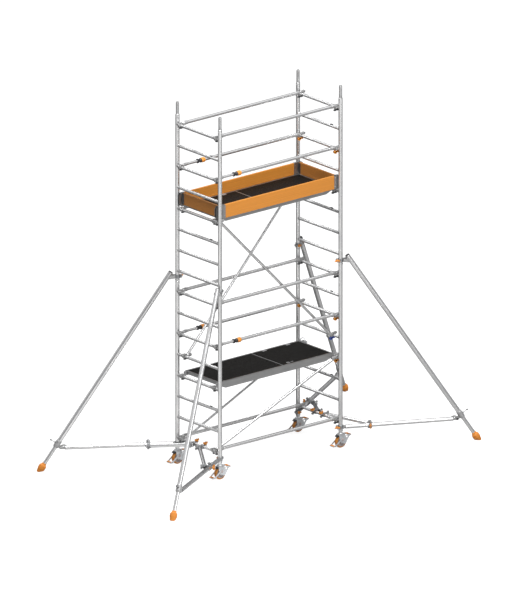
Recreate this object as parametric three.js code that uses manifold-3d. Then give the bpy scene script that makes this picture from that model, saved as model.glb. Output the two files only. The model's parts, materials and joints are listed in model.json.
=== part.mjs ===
// Mobile tower scaffold: four aluminium ladder frames in two lifts, on four braked castors,
// with two hatch decks, toe boards, guardrails, diagonal braces and four telescopic outriggers.
//
// Millimetres, +Z up. X runs along the bay, Y across it. The origin is on the ground, under
// the centre of the bay. "Front" is -Y, "left" is -X.

import * as THREE from 'three';
import { mergeVertices } from 'three/addons/utils/BufferGeometryUtils.js';
import Module from 'manifold-3d';

const wasm = await Module();
wasm.setup();

// ---------------------------------------------------------------- driving dimensions

const bayLength = 1800;
const frameWidth = 750;
const frameHeight = 2000;
const frameBase = 190;
const rungCount = 8;
const rungPitch = 250;
const uprightRadius = 24.15;
const wall = 3;
const rungRadius = 17.5;
const spigotRadius = 19;
const spigotLength = 150;

const railRadius = 19;
const braceRadius = 15;
const railInset = 57;
const railRise = 22;
const braceRise = 8;

const deckHalfWidth = 300;
const deckHalfLength = 850;
const deckTop = 60;
const beamDepth = 80;
const boardThickness = 10;
const hatchStart = 125;

const toeThickness = 25;
const toeTop = 192;

const wheelRadius = 75;
const wheelWidth = 46;
const brakePivotZ = 100;

const outriggerAngle = 30;
const legTop = { r: 78, z: 2299 };
const legTip = { r: 1600, z: 0 };
const legRadius = 27;
const footTubeRadius = 22;

const gap = 0.4;

// Facets round a full circle: uprights and what turns inside them, and everything else round.
const uprightSides = 12;
const tubeSides = 8;

// ---------------------------------------------------------------- derived sizes

const halfLength = bayLength / 2;
const halfWidth = frameWidth / 2;
const railY = halfWidth - railInset;
const rungZ = (number) => frameBase + rungPitch / 2 + (number - 1) * rungPitch;
const boreRadius = uprightRadius - wall;

// Rungs are numbered from 1 at the bottom of the tower to 16 at the top.
const baseRung = 1;
const lowerDeckRung = 4;
const lowerKneeRung = 6;
const lowerGuardRung = 8;
const braceFootRung = 5;
const upperDeckRung = 12;
const upperKneeRung = 14;
const upperGuardRung = 16;

// ---------------------------------------------------------------- solids

function toSolid(geometry) {
  const plain = geometry.clone();
  plain.deleteAttribute('normal');
  plain.deleteAttribute('uv');
  const merged = mergeVertices(plain, 1e-4);
  return new wasm.Manifold(new wasm.Mesh({
    numProp: 3,
    vertProperties: new Float32Array(merged.attributes.position.array),
    triVerts: new Uint32Array(merged.index.array),
  }));
}

function toGeometry(solid) {
  const mesh = solid.getMesh();
  const geometry = new THREE.BufferGeometry();
  geometry.setAttribute('position', new THREE.BufferAttribute(mesh.vertProperties, 3));
  geometry.setIndex(new THREE.BufferAttribute(mesh.triVerts, 1));
  geometry.computeVertexNormals();
  return geometry;
}

function join(...solids) {
  return solids.flat().reduce((whole, solid) => whole.add(solid));
}

function cut(solid, ...tools) {
  return tools.flat().reduce((whole, tool) => whole.subtract(tool), solid);
}

// A round rod between two points; endRadius makes it taper.
function rod(radius, from, to, sides = tubeSides, endRadius = radius) {
  const start = new THREE.Vector3(...from);
  const end = new THREE.Vector3(...to);
  const along = end.clone().sub(start);
  const geometry = new THREE.CylinderGeometry(endRadius, radius, along.length(), sides);
  const turn = new THREE.Quaternion().setFromUnitVectors(
    new THREE.Vector3(0, 1, 0),
    along.clone().normalize(),
  );
  geometry.applyQuaternion(turn);
  geometry.translate(...start.add(end).multiplyScalar(0.5).toArray());
  return toSolid(geometry);
}

// A tube open at both ends: the bore runs a little past the rod so that its ends are clean.
function tube(radius, bore, from, to, sides = tubeSides) {
  const start = new THREE.Vector3(...from);
  const end = new THREE.Vector3(...to);
  const overrun = end.clone().sub(start).normalize();
  const boreStart = start.clone().sub(overrun).toArray();
  const boreEnd = end.clone().add(overrun).toArray();
  return cut(rod(radius, from, to, sides), rod(bore, boreStart, boreEnd, sides));
}

// A box given by its lowest and highest corners, in any order.
function block(one, other) {
  const size = one.map((value, axis) => Math.abs(other[axis] - value));
  const middle = one.map((value, axis) => (other[axis] + value) / 2);
  const geometry = new THREE.BoxGeometry(...size);
  geometry.translate(...middle);
  return toSolid(geometry);
}

// A flat plate: an outline of [x, z] points, with thickness from y0 to y1.
function plate(outline, y0, y1) {
  const shape = new THREE.Shape(outline.map(([x, z]) => new THREE.Vector2(x, z)));
  const thickness = Math.abs(y1 - y0);
  const geometry = new THREE.ExtrudeGeometry(shape, { depth: thickness, bevelEnabled: false });
  geometry.rotateX(Math.PI / 2);
  geometry.translate(0, Math.max(y0, y1), 0);
  return toSolid(geometry);
}

// A C-shaped hook in the XZ plane round a bar that runs along Y. Angles in degrees start at
// the outboard side (away from the middle of the tower) and go up over the top of the bar.
function hook(centre, outboard, inner, outer, fromAngle, toAngle, y0, y1, steps = 5) {
  const point = (radius, degrees) => {
    const angle = THREE.MathUtils.degToRad(degrees);
    return [
      centre.x + outboard * radius * Math.cos(angle),
      centre.z + radius * Math.sin(angle),
    ];
  };
  const outline = [];
  for (let step = 0; step <= steps; step += 1) {
    outline.push(point(outer, fromAngle + ((toAngle - fromAngle) * step) / steps));
  }
  for (let step = steps; step >= 0; step -= 1) {
    outline.push(point(inner, fromAngle + ((toAngle - fromAngle) * step) / steps));
  }
  return plate(outline, y0, y1);
}

// ---------------------------------------------------------------- materials

const finishes = {
  aluminium: { color: 0xc9ccd0, roughness: 0.38, metalness: 0.85 },
  galvanised: { color: 0x9ba0a5, roughness: 0.5, metalness: 0.8 },
  orange: { color: 0xe58a24, roughness: 0.6, metalness: 0 },
  orangePlastic: { color: 0xe07a1c, roughness: 0.45, metalness: 0 },
  plywood: { color: 0x241f1d, roughness: 0.7, metalness: 0 },
};

const tower = new THREE.Group();

function add(name, solid, finish) {
  const mesh = new THREE.Mesh(
    toGeometry(solid),
    new THREE.MeshStandardMaterial(finishes[finish]),
  );
  mesh.name = name;
  tower.add(mesh);
  return mesh;
}

// ---------------------------------------------------------------- ladder frames

// One frame, standing on z = 0 across x = 0. The spigot at the head of each upright is
// pressed into it by a plug; the foot of each upright is an open socket.
function ladderFrame() {
  const height = frameHeight - gap;
  const plugLength = 60;
  const chamfer = 8;
  const outers = [];
  const bores = [];
  const spigots = [];
  for (const side of [-1, 1]) {
    const y = side * halfWidth;
    outers.push(rod(uprightRadius, [0, y, 0], [0, y, height], uprightSides));
    bores.push(rod(boreRadius, [0, y, -1], [0, y, height + 1], uprightSides));
    const plugRadius = boreRadius + wall / 2;
    const spigotTop = height + spigotLength;
    spigots.push(
      rod(plugRadius, [0, y, height - plugLength], [0, y, height - 2], uprightSides),
      rod(spigotRadius, [0, y, height - plugLength], [0, y, spigotTop - chamfer], uprightSides),
      rod(
        spigotRadius,
        [0, y, spigotTop - chamfer],
        [0, y, spigotTop],
        uprightSides,
        spigotRadius - chamfer / 2,
      ),
    );
  }
  for (let number = 0; number < rungCount; number += 1) {
    const z = rungPitch / 2 + number * rungPitch;
    outers.push(rod(rungRadius, [0, -halfWidth, z], [0, halfWidth, z]));
    bores.push(rod(rungRadius - wall, [0, -halfWidth, z], [0, halfWidth, z]));
  }
  return join(cut(join(outers), bores), spigots);
}

function addFrames() {
  const frame = ladderFrame();
  for (const [lift, base] of [['lower', frameBase], ['upper', frameBase + frameHeight]]) {
    for (const [side, sign] of [['left', -1], ['right', 1]]) {
      const mesh = add(`${lift}_frame_${side}`, frame, 'aluminium');
      mesh.position.set(sign * halfLength, 0, base);
    }
  }
}

// ---------------------------------------------------------------- castors

// A castor stands centred under its upright. Its stem turns in the upright's socket.
function castorFork() {
  const cheekInner = 28;
  const cheekOuter = 32;
  const stemRadius = 19.5;
  const crownBottom = wheelRadius * 2 + 4;
  const crownTop = crownBottom + 8;
  const headTop = frameBase - 3;
  const stem = rod(stemRadius, [0, 0, crownTop - 2], [0, 0, frameBase + 110], uprightSides);
  const head = rod(34, [0, 0, crownTop - 2], [0, 0, headTop], uprightSides, 27);
  const crown = block([-44, -cheekOuter, crownBottom], [44, cheekOuter, crownTop]);
  const cheekOutline = [
    [-44, crownTop],
    [-40, 112],
    [-16, 58],
    [16, 58],
    [62, 118],
    [58, 140],
    [44, crownTop],
  ];
  const cheeks = [-1, 1].map((side) => (
    plate(cheekOutline, side * cheekInner, side * cheekOuter)
  ));
  const axle = rod(7, [0, -34, wheelRadius], [0, 34, wheelRadius]);
  const pivots = [-1, 1].map((side) => (
    rod(5, [0, side * 29, brakePivotZ], [0, side * 41, brakePivotZ])
  ));
  return join(stem, head, crown, cheeks, axle, pivots);
}

// The wheel is turned about Z and laid over onto its axle along Y.
function castorWheel() {
  const boreR = 8;
  const hubR = 20;
  const webHalf = 8;
  const hubHalf = 25;
  const treadHalf = wheelWidth / 2;
  const rimInner = 56;
  const profile = [
    [boreR, -hubHalf],
    [hubR, -hubHalf],
    [hubR + 4, -webHalf],
    [rimInner, -treadHalf],
    [wheelRadius, -treadHalf + 6],
    [wheelRadius, treadHalf - 6],
    [rimInner, treadHalf],
    [hubR + 4, webHalf],
    [hubR, hubHalf],
    [boreR, hubHalf],
    [boreR, -hubHalf],
  ].map(([radius, along]) => new THREE.Vector2(radius, along));
  return toSolid(new THREE.LatheGeometry(profile, 16));
}

// One rocker lever: two side arms pivoted on the fork, a foot tread at each end.
function brakeRocker() {
  const armInner = 36;
  const armOuter = 39;
  const outline = [
    [-134, 36],
    [-104, 36],
    [-14, 88],
    [16, 88],
    [96, 132],
    [132, 138],
    [132, 143],
    [90, 143],
    [12, 112],
    [-16, 112],
    [-112, 50],
    [-134, 42],
  ];
  const arms = [-1, 1].map((side) => cut(
    plate(outline, side * armInner, side * armOuter),
    rod(6, [0, side * 30, brakePivotZ], [0, side * 45, brakePivotZ]),
  ));
  const pressTread = block([96, -armOuter, 138], [132, armOuter, 143]);
  const releaseTread = block([-134, -armOuter, 36], [-108, armOuter, 42]);
  return join(arms, pressTread, releaseTread);
}

function addCastors(corners) {
  const fork = castorFork();
  const wheel = castorWheel();
  const rocker = brakeRocker();
  for (const { name, x, y } of corners) {
    add(`castor_fork_${name}`, fork, 'galvanised').position.set(x, y, 0);
    add(`castor_wheel_${name}`, wheel, 'orangePlastic').position.set(x, y, wheelRadius);
    add(`brake_pedal_${name}`, rocker, 'orangePlastic').position.set(x, y, 0);
  }
}

// ---------------------------------------------------------------- rails and braces

const clawInner = rungRadius + 2;
const clawOuter = rungRadius + 10.5;
const clawWidth = 32;
const braceClawWidth = 26;
const tubeEnd = halfLength - 32;
const neckRoot = halfLength - 60;

// A cast claw that hooks over a rung: outboard is +1 at the right frame, -1 at the left.
// Its neck is a flat blade, narrower than the tube's bore, that grips the tube top and bottom.
// tipZ and rootZ are the heights of the blade's middle at the rung and inside the tube.
function claw(outboard, y, rung, width, reach, tipZ, rootZ = tipZ) {
  const centre = { x: outboard * halfLength, z: rungZ(rung) };
  const ring = hook(centre, outboard, clawInner, clawOuter, -25, 200, y - width / 2, y + width / 2);
  const tipX = outboard * (halfLength - clawInner - 0.5);
  const rootX = outboard * neckRoot;
  const neck = plate(
    [
      [tipX, tipZ + reach],
      [tipX, tipZ - reach + 4],
      [rootX, rootZ - reach],
      [rootX, rootZ + reach],
    ],
    y - 5,
    y + 5,
  );
  return join(ring, neck);
}

// A tube between two claws. start and end give { y, rung } at the left and the right frame,
// and rise is the height of the tube's ends above the rungs.
function clawedTube(radius, rise, width, start, end) {
  const startZ = rungZ(start.rung) + rise;
  const endZ = rungZ(end.rung) + rise;
  const body = tube(
    radius,
    radius - wall,
    [-tubeEnd, start.y, startZ],
    [tubeEnd, end.y, endZ],
  );
  const slope = (endZ - startZ) / (2 * tubeEnd);
  const climb = slope * (tubeEnd - neckRoot);
  const reach = radius - 1;
  return join(
    body,
    claw(-1, start.y, start.rung, width, reach, startZ, startZ + climb),
    claw(1, end.y, end.rung, width, reach, endZ, endZ - climb),
  );
}

const lockStart = -598;
const lockLength = 52;

// A telescopic rail: a slim inner tube on the left slides in the outer tube on the right.
function telescopicRail(y, rung) {
  const innerRadius = 15;
  const z = rungZ(rung) + railRise;
  const inner = tube(innerRadius, innerRadius - wall, [-tubeEnd, y, z], [-420, y, z]);
  const outer = tube(railRadius, innerRadius - 0.5, [lockStart - 14, y, z], [tubeEnd, y, z]);
  const opened = cut(outer, rod(railRadius - wall, [-400, y, z], [tubeEnd + 1, y, z]));
  return join(
    inner,
    opened,
    claw(-1, y, rung, clawWidth, innerRadius - 1, z),
    claw(1, y, rung, clawWidth, railRadius - 1, z),
  );
}

// The twist lock is a ring round the mouth of the outer tube.
function twistLock(y, rung) {
  const z = rungZ(rung) + railRise;
  const bore = railRadius + 2;
  return tube(28, bore, [lockStart, y, z], [lockStart + lockLength, y, z], uprightSides);
}

function addRails() {
  const sides = [['front', -railY], ['back', railY]];
  const plainRails = [
    ['guardrail_upper', upperGuardRung],
    ['guardrail_lower', lowerGuardRung],
    ['base_rail', baseRung],
  ];
  const kneeRails = [['upper', upperKneeRung], ['lower', lowerKneeRung]];
  for (const [side, y] of sides) {
    for (const [name, rung] of plainRails) {
      const end = { y, rung };
      add(`${name}_${side}`, clawedTube(railRadius, railRise, clawWidth, end, end), 'aluminium');
    }
    for (const [level, rung] of kneeRails) {
      add(`telescopic_rail_${level}_${side}`, telescopicRail(y, rung), 'aluminium');
      add(`twist_lock_${level}_${side}`, twistLock(y, rung), 'orangePlastic');
    }
  }
}

// Braces hook beside the decks where they share a rung, and inboard of the rails elsewhere.
function addBraces() {
  const besideDeck = 325;
  const insideRails = 245;
  const besideBaseRail = 272;
  const highLow = [
    { y: -besideDeck, rung: upperDeckRung },
    { y: -insideRails, rung: braceFootRung },
  ];
  const lowHigh = [
    { y: insideRails, rung: braceFootRung },
    { y: besideDeck, rung: upperDeckRung },
  ];
  const brace = (ends) => clawedTube(braceRadius, braceRise, braceClawWidth, ...ends);
  add('diagonal_upper_front', brace(highLow), 'aluminium');
  add('diagonal_upper_back', brace(lowHigh), 'aluminium');
  for (const [side, sign] of [['front', -1], ['back', 1]]) {
    const foot = { y: sign * besideBaseRail, rung: baseRung };
    const head = { y: sign * besideDeck, rung: lowerDeckRung };
    add(`diagonal_lower_${side}`, brace([foot, head]), 'aluminium');
  }
}

// ---------------------------------------------------------------- decks

// The deck's aluminium frame about the axis height of the rungs that carry it.
// hatchSide is +1 where the hatch is at the right-hand end, -1 at the left.
function deckFrame(hatchSide, z) {
  const beamWidth = 22;
  const beamInner = deckHalfWidth - beamWidth;
  const bottom = deckTop - beamDepth;
  const taper = 100;
  const endInner = deckHalfLength - 24;
  const ledgeTop = deckTop - boardThickness - gap;
  const beamOutline = [
    [-deckHalfLength, z + deckTop],
    [-deckHalfLength, z + 20],
    [-deckHalfLength + taper, z + bottom],
    [deckHalfLength - taper, z + bottom],
    [deckHalfLength, z + 20],
    [deckHalfLength, z + deckTop],
  ];
  const pieces = [];
  for (const side of [-1, 1]) {
    pieces.push(plate(beamOutline, side * beamInner, side * deckHalfWidth));
    pieces.push(block(
      [-endInner - 5, side * (beamInner - 16), z + ledgeTop - 12],
      [endInner + 5, side * (beamInner + 8), z + ledgeTop],
    ));
    pieces.push(block(
      [side * endInner, -beamInner - 10, z + 22],
      [side * (deckHalfLength - 2), beamInner + 10, z + deckTop],
    ));
  }
  pieces.push(block(
    [hatchSide * (hatchStart - 22), -beamInner - 4, z + 4],
    [hatchSide * (hatchStart + 22), beamInner + 4, z + ledgeTop],
  ));
  pieces.push(deckClaws(z));
  return join(pieces.flat());
}

// Four claws, two at each end, that hook the deck onto its rungs.
function deckClaws(z) {
  const clawY = 283;
  const clawHalf = 17;
  const claws = [];
  for (const outboard of [-1, 1]) {
    for (const side of [-1, 1]) {
      const y0 = side * clawY - clawHalf;
      const y1 = side * clawY + clawHalf;
      const centre = { x: outboard * halfLength, z };
      claws.push(hook(centre, outboard, clawInner, clawOuter, -20, 200, y0, y1));
      claws.push(block(
        [outboard * (deckHalfLength - 10), y0 + 2, z + 6],
        [outboard * (halfLength - clawInner - 0.5), y1 - 2, z + 38],
      ));
    }
  }
  return claws;
}

const hatchAxis = { y: 273.5, above: 1.5 };
const hingeCentres = [300, 650];
const hingeLength = 60;
const barrelRadius = 4;
const fingerHole = { x: 230, y: -243, radius: 16 };

function deckBoard(hatchSide, z) {
  const farEnd = deckHalfLength - 24 - gap;
  const halfWide = deckHalfWidth - 22 - gap;
  return block(
    [-hatchSide * farEnd, -halfWide, z + deckTop - boardThickness],
    [hatchSide * (hatchStart - 0.6), halfWide, z + deckTop],
  );
}

// The hatch lies flush in the deck and lifts about two hinge barrels at its back edge.
function hatch(hatchSide, z) {
  const farEnd = deckHalfLength - 24 - gap;
  const halfWide = deckHalfWidth - 22 - gap;
  const board = block(
    [hatchSide * (hatchStart + 0.6), -halfWide, z + deckTop - boardThickness],
    [hatchSide * farEnd, hatchAxis.y - 1.5, z + deckTop],
  );
  const holeAt = (height) => [hatchSide * fingerHole.x, fingerHole.y, z + height];
  const handle = cut(board, rod(fingerHole.radius, holeAt(deckTop - 20), holeAt(deckTop + 10)));
  const barrelZ = z + deckTop + hatchAxis.above;
  const barrelEnd = (x) => [hatchSide * x, hatchAxis.y, barrelZ];
  const barrels = hingeCentres.map((x) => (
    rod(barrelRadius, barrelEnd(x - hingeLength / 2), barrelEnd(x + hingeLength / 2))
  ));
  return join(handle, barrels);
}

function addDecks() {
  const decks = [['lower', lowerDeckRung, 1], ['upper', upperDeckRung, -1]];
  for (const [level, rung, hatchSide] of decks) {
    const z = rungZ(rung);
    add(`deck_frame_${level}`, deckFrame(hatchSide, z), 'aluminium');
    add(`deck_board_${level}`, deckBoard(hatchSide, z), 'plywood');
    add(`hatch_${level}`, hatch(hatchSide, z), 'plywood');
  }
}

// ---------------------------------------------------------------- toe boards

// Each long board has a long end fitting and a short one. The back board is the front board
// turned half a turn about Z.
function addToeBoards() {
  const z = rungZ(upperDeckRung);
  const inner = deckHalfWidth + 12;
  const outer = inner + toeThickness;
  const fittingSkin = 3;
  const fittingEnd = 925;
  const longFittingStart = 785;
  const shortFittingStart = 838;
  const underFitting = 5;
  for (const [side, turn] of [['front', 1], ['back', -1]]) {
    const board = block(
      [-turn * (longFittingStart + underFitting), -turn * inner, z + 32],
      [turn * (shortFittingStart + underFitting), -turn * outer, z + toeTop],
    );
    const fittings = [[-longFittingStart, -1], [shortFittingStart, 1]].map(([start, end]) => block(
      [turn * start, -turn * (inner - fittingSkin), z + 32],
      [turn * end * fittingEnd, -turn * (outer + fittingSkin), z + toeTop + 1],
    ));
    add(`toe_board_${side}`, join(board, fittings), 'orange');
  }
  const endInner = deckHalfLength + 6;
  for (const [side, sign] of [['left', -1], ['right', 1]]) {
    const board = block(
      [sign * endInner, -inner + fittingSkin + 2, z + 52],
      [sign * (endInner + toeThickness), inner - fittingSkin - 2, z + toeTop],
    );
    add(`toe_board_${side}`, board, 'orange');
  }
}

// ---------------------------------------------------------------- outriggers

// Outriggers are drawn pointing along +X from an upright on the Z axis, and then turned.
const legLength = Math.hypot(legTip.r - legTop.r, legTop.z - legTip.z);
const legSlope = {
  r: (legTip.r - legTop.r) / legLength,
  z: (legTip.z - legTop.z) / legLength,
};
const onLeg = (along) => [legTop.r + legSlope.r * along, 0, legTop.z + legSlope.z * along];

const upperClampZ = 2246;
const lowerClampZ = 245;
const clampHalfHeight = 22;
const clampBore = 26.8;
const clampRadius = 35;
const strutPin = { r: 1352, z: 268 };
const sleeveStart = 2330;
const sleeveEnd = 2420;

// A ring clamp round the upright, with the boss of its closing bolt on the far side.
function uprightClamp(z) {
  const boss = block([-54, -13, z - 15], [-28, 13, z + 15]);
  const bossed = join(
    rod(clampRadius, [0, 0, z - clampHalfHeight], [0, 0, z + clampHalfHeight]),
    boss,
  );
  return cut(bossed, rod(clampBore, [0, 0, z - 40], [0, 0, z + 40]));
}

function outriggerLeg() {
  const lug = block([29, -11, upperClampZ - 18], [104, 11, upperClampZ + 18]);
  const bore = footTubeRadius + 2;
  const outer = join(
    uprightClamp(upperClampZ),
    cut(lug, rod(bore, onLeg(-40), onLeg(400))),
    tube(legRadius, bore, onLeg(0), onLeg(sleeveStart + 30)),
    tube(legRadius + 6, bore, onLeg(sleeveStart), onLeg(sleeveEnd)),
  );
  const eyeOutline = [
    [strutPin.r - 11, strutPin.z + 10],
    [strutPin.r - 11, strutPin.z - 10],
    [strutPin.r + 8, strutPin.z - 13],
    [strutPin.r + 46, strutPin.z + 22],
    [strutPin.r + 22, strutPin.z + 52],
  ];
  const eye = cut(
    plate(eyeOutline, -7, 7),
    rod(bore, onLeg(sleeveStart - 50), onLeg(sleeveEnd + 50)),
    rod(6.5, [strutPin.r, -10, strutPin.z], [strutPin.r, 10, strutPin.z]),
  );
  return join(outer, eye);
}

// The inner tube slides in the leg and stands on a rubber foot cut off level at the ground.
function outriggerFoot() {
  const footStart = 2650;
  const shank = tube(footTubeRadius, footTubeRadius - wall, onLeg(1780), onLeg(footStart + 20));
  const boot = rod(38, onLeg(footStart), onLeg(legLength + 80), uprightSides);
  const ground = block([legTip.r - 300, -100, -200], [legTip.r + 300, 100, 0]);
  return join(shank, cut(boot, ground));
}

function outriggerStrut() {
  const tubeStart = 58;
  const tubeEnd = 1300;
  const slope = (strutPin.z - lowerClampZ) / (strutPin.r - tubeStart);
  const height = (r) => lowerClampZ + slope * (r - tubeStart);
  const body = tube(
    uprightRadius,
    uprightRadius - wall,
    [tubeStart, 0, lowerClampZ],
    [tubeEnd, 0, height(tubeEnd)],
  );
  const blade = block([29, -11, lowerClampZ - 23], [84, 11, lowerClampZ + 23]);
  const ears = [-1, 1].map((side) => block(
    [tubeEnd - 30, side * 8.5, strutPin.z - 19],
    [strutPin.r + 12, side * 15, strutPin.z + 17],
  ));
  const pin = rod(5, [strutPin.r, -18, strutPin.z], [strutPin.r, 18, strutPin.z]);
  return join(uprightClamp(lowerClampZ), body, blade, ears, pin);
}

// The stay holds the strut's angle: a saddle hooks the bottom rung from outside, and a ring
// clamp holds the strut. outX and outY are the corner's outboard directions.
function outriggerStay(outX, outY) {
  const rungEnd = { u: 50, v: -300 };
  const strutGrip = 340;
  const z = rungZ(baseRung);
  const place = (u, v, height) => [
    outX * (halfLength + u),
    outY * (halfWidth + v),
    height,
  ];
  const turn = THREE.MathUtils.degToRad(outriggerAngle);
  const strutDirection = [Math.cos(turn), Math.sin(turn)];
  const aside = [Math.sin(turn), -Math.cos(turn)];
  const gripZ = lowerClampZ + 5;
  const onStrut = (along, off) => place(
    strutDirection[0] * along + aside[0] * off,
    strutDirection[1] * along + aside[1] * off,
    gripZ,
  );
  const saddleY = [outY * (halfWidth + rungEnd.v - 20), outY * (halfWidth + rungEnd.v + 20)];
  const centre = { x: outX * halfLength, z };
  const saddle = hook(centre, outX, clawInner, clawOuter, -85, 85, ...saddleY, 6);
  const boss = block(
    place(23, rungEnd.v - 16, z - 14),
    place(rungEnd.u + 12, rungEnd.v + 16, z + 14),
  );
  const body = rod(21, place(rungEnd.u, rungEnd.v, z - 4), onStrut(strutGrip + 8, 62));
  const link = rod(14, onStrut(strutGrip, 30), onStrut(strutGrip, 62), 6);
  const ring = rod(clampRadius, onStrut(strutGrip - 22, 0), onStrut(strutGrip + 22, 0));
  const grip = cut(
    join(ring, link),
    rod(clampBore, onStrut(strutGrip - 60, 0), onStrut(strutGrip + 60, 0)),
  );
  return join(saddle, boss, body, grip);
}

function addOutriggers(corners) {
  const leg = outriggerLeg();
  const foot = outriggerFoot();
  const strut = outriggerStrut();
  for (const { name, x, y, outX, outY } of corners) {
    const turn = new THREE.Group();
    turn.position.set(x, y, 0);
    const angle = THREE.MathUtils.degToRad(outriggerAngle);
    turn.rotation.z = Math.atan2(outY * Math.sin(angle), outX * Math.cos(angle));
    turn.add(add(`outrigger_leg_${name}`, leg, 'aluminium'));
    turn.add(add(`outrigger_foot_${name}`, foot, 'aluminium'));
    turn.add(add(`outrigger_strut_${name}`, strut, 'aluminium'));
    tower.add(turn);
    add(`outrigger_stay_${name}`, outriggerStay(outX, outY), 'aluminium');
  }
}

// ---------------------------------------------------------------- the tower

const corners = [];
for (const [depth, outY] of [['front', -1], ['back', 1]]) {
  for (const [side, outX] of [['left', -1], ['right', 1]]) {
    corners.push({
      name: `${depth}_${side}`,
      x: outX * halfLength,
      y: outY * halfWidth,
      outX,
      outY,
    });
  }
}

addFrames();
addCastors(corners);
addRails();
addBraces();
addDecks();
addToeBoards();
addOutriggers(corners);

export default tower;
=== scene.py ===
"""The looks of the mobile tower scaffold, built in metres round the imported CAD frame.

Each CAD node is replaced by a finely made piece in the same place. Places come from the frame's
boxes and joints. X runs along the bay, Y across it, "front" is -Y and "left" is -X.
"""

import json
import math

import bmesh
import bpy
from mathutils import Matrix, Vector


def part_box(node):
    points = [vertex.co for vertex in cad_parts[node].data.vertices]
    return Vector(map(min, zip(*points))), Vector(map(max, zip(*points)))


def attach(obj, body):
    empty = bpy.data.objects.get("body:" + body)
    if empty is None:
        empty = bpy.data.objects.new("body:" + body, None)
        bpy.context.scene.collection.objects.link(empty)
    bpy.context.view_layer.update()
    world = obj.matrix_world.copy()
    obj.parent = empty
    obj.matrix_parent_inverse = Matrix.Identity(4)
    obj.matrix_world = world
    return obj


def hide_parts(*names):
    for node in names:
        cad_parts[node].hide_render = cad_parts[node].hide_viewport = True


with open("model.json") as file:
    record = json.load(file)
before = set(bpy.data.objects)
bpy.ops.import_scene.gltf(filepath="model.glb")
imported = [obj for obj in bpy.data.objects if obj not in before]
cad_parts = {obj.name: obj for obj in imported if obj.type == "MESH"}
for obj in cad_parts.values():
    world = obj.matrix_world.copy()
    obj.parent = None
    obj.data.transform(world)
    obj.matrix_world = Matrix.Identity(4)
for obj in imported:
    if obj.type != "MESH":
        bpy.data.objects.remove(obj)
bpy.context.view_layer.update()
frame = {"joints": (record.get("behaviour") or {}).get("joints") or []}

# ---------------------------------------------------------------- sizes read from the frame

frame_low, frame_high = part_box("lower_frame_right")
UPRIGHT_RADIUS = (frame_high.x - frame_low.x) / 2
HALF_LENGTH = (frame_high.x + frame_low.x) / 2
HALF_WIDTH = frame_high.y - UPRIGHT_RADIUS
FRAME_BASE = frame_low.z
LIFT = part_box("upper_frame_right")[0].z - FRAME_BASE
SPIGOT_TOP = frame_high.z - FRAME_BASE

RUNG_COUNT = 8
RUNG_PITCH = LIFT / RUNG_COUNT
RUNG_RADIUS = 0.0175
SPIGOT_RADIUS = 0.019
WALL = 0.003

RAIL_RADIUS = 0.019
INNER_RAIL_RADIUS = 0.015
BRACE_RADIUS = 0.015

wheel_low, wheel_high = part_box("castor_wheel_front_left")
WHEEL_RADIUS = (wheel_high.z - wheel_low.z) / 2

BASE_RUNG = 1
LOWER_DECK_RUNG = 4
BRACE_FOOT_RUNG = 5
LOWER_KNEE_RUNG = 6
LOWER_GUARD_RUNG = 8
UPPER_DECK_RUNG = 12
UPPER_KNEE_RUNG = 14
UPPER_GUARD_RUNG = 16

CORNERS = [
    (f"{depth}_{side}", out_x, out_y)
    for depth, out_y in (("front", -1), ("back", 1))
    for side, out_x in (("left", -1), ("right", 1))
]


def rung_z(number):
    """Height of a rung's axis; rungs are numbered from 1 at the foot of the tower."""
    return FRAME_BASE + RUNG_PITCH * (number - 0.5)


def joint(name):
    """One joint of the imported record."""
    return next(entry for entry in frame["joints"] if entry["name"] == name)


def middle(node):
    """The centre of a CAD node's box."""
    low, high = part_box(node)
    return (low + high) / 2


BRAKE_PIVOT_Z = joint("brake_lever_front_left")["pos_m"][2]
HINGE_Y = joint("hatch_lower_lift")["pos_m"][1]


# ---------------------------------------------------------------- flat shapes and places


def arc(centre, radius, start, end, steps=12):
    """Points on an arc in a plane, from one angle to another in degrees."""
    points = []
    for step in range(steps + 1):
        angle = math.radians(start + (end - start) * step / steps)
        points.append((centre[0] + radius * math.cos(angle), centre[1] + radius * math.sin(angle)))
    return points


def rounded(points, radius, loop=True, steps=3):
    """The path with its corners rounded off. An open path keeps its two ends."""
    corners = [Vector(point) for point in points]
    last = len(corners) - 1
    path = []
    for number, here in enumerate(corners):
        if not loop and number in (0, last):
            path.append(here)
            continue
        before = corners[number - 1] - here
        after = corners[(number + 1) % (last + 1)] - here
        start = here + before.normalized() * min(radius, before.length * 0.49)
        end = here + after.normalized() * min(radius, after.length * 0.49)
        for step in range(steps + 1):
            share = step / steps
            path.append(
                start * (1 - share) ** 2 + here * 2 * share * (1 - share) + end * share**2
            )
    return path


def rectangle(width, height, radius=0.0):
    """A rectangle about the origin, with rounded corners if radius is given."""
    x, y = width / 2, height / 2
    corners = [(-x, -y), (x, -y), (x, y), (-x, y)]
    return rounded(corners, radius) if radius else corners


def wound(loop, turn):
    """The loop running anticlockwise if turn is 1, clockwise if it is -1."""
    area = sum(
        here[0] * after[1] - after[0] * here[1]
        for here, after in zip(loop, loop[1:] + loop[:1])
    )
    return list(loop) if area * turn > 0 else list(reversed(loop))


def shifted(loop, distance):
    """The loop with every corner moved to the left of its path."""
    moved = []
    for before, here, after in zip(loop[-1:] + loop[:-1], loop, loop[1:] + loop[:1]):
        arriving = (Vector(here) - Vector(before)).normalized()
        leaving = (Vector(after) - Vector(here)).normalized()
        square = Vector((-arriving.y, arriving.x))
        left = square + Vector((-leaving.y, leaving.x))
        left = left.normalized() if left.length > 1e-6 else square
        moved.append(Vector(here) + left * (distance / max(0.5, left.dot(square))))
    return moved


def at(x, y, z):
    """A place with no turn."""
    return Matrix.Translation((x, y, z))


def turned_about(axis, degrees):
    """A turn about a main axis."""
    return Matrix.Rotation(math.radians(degrees), 4, axis)


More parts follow.
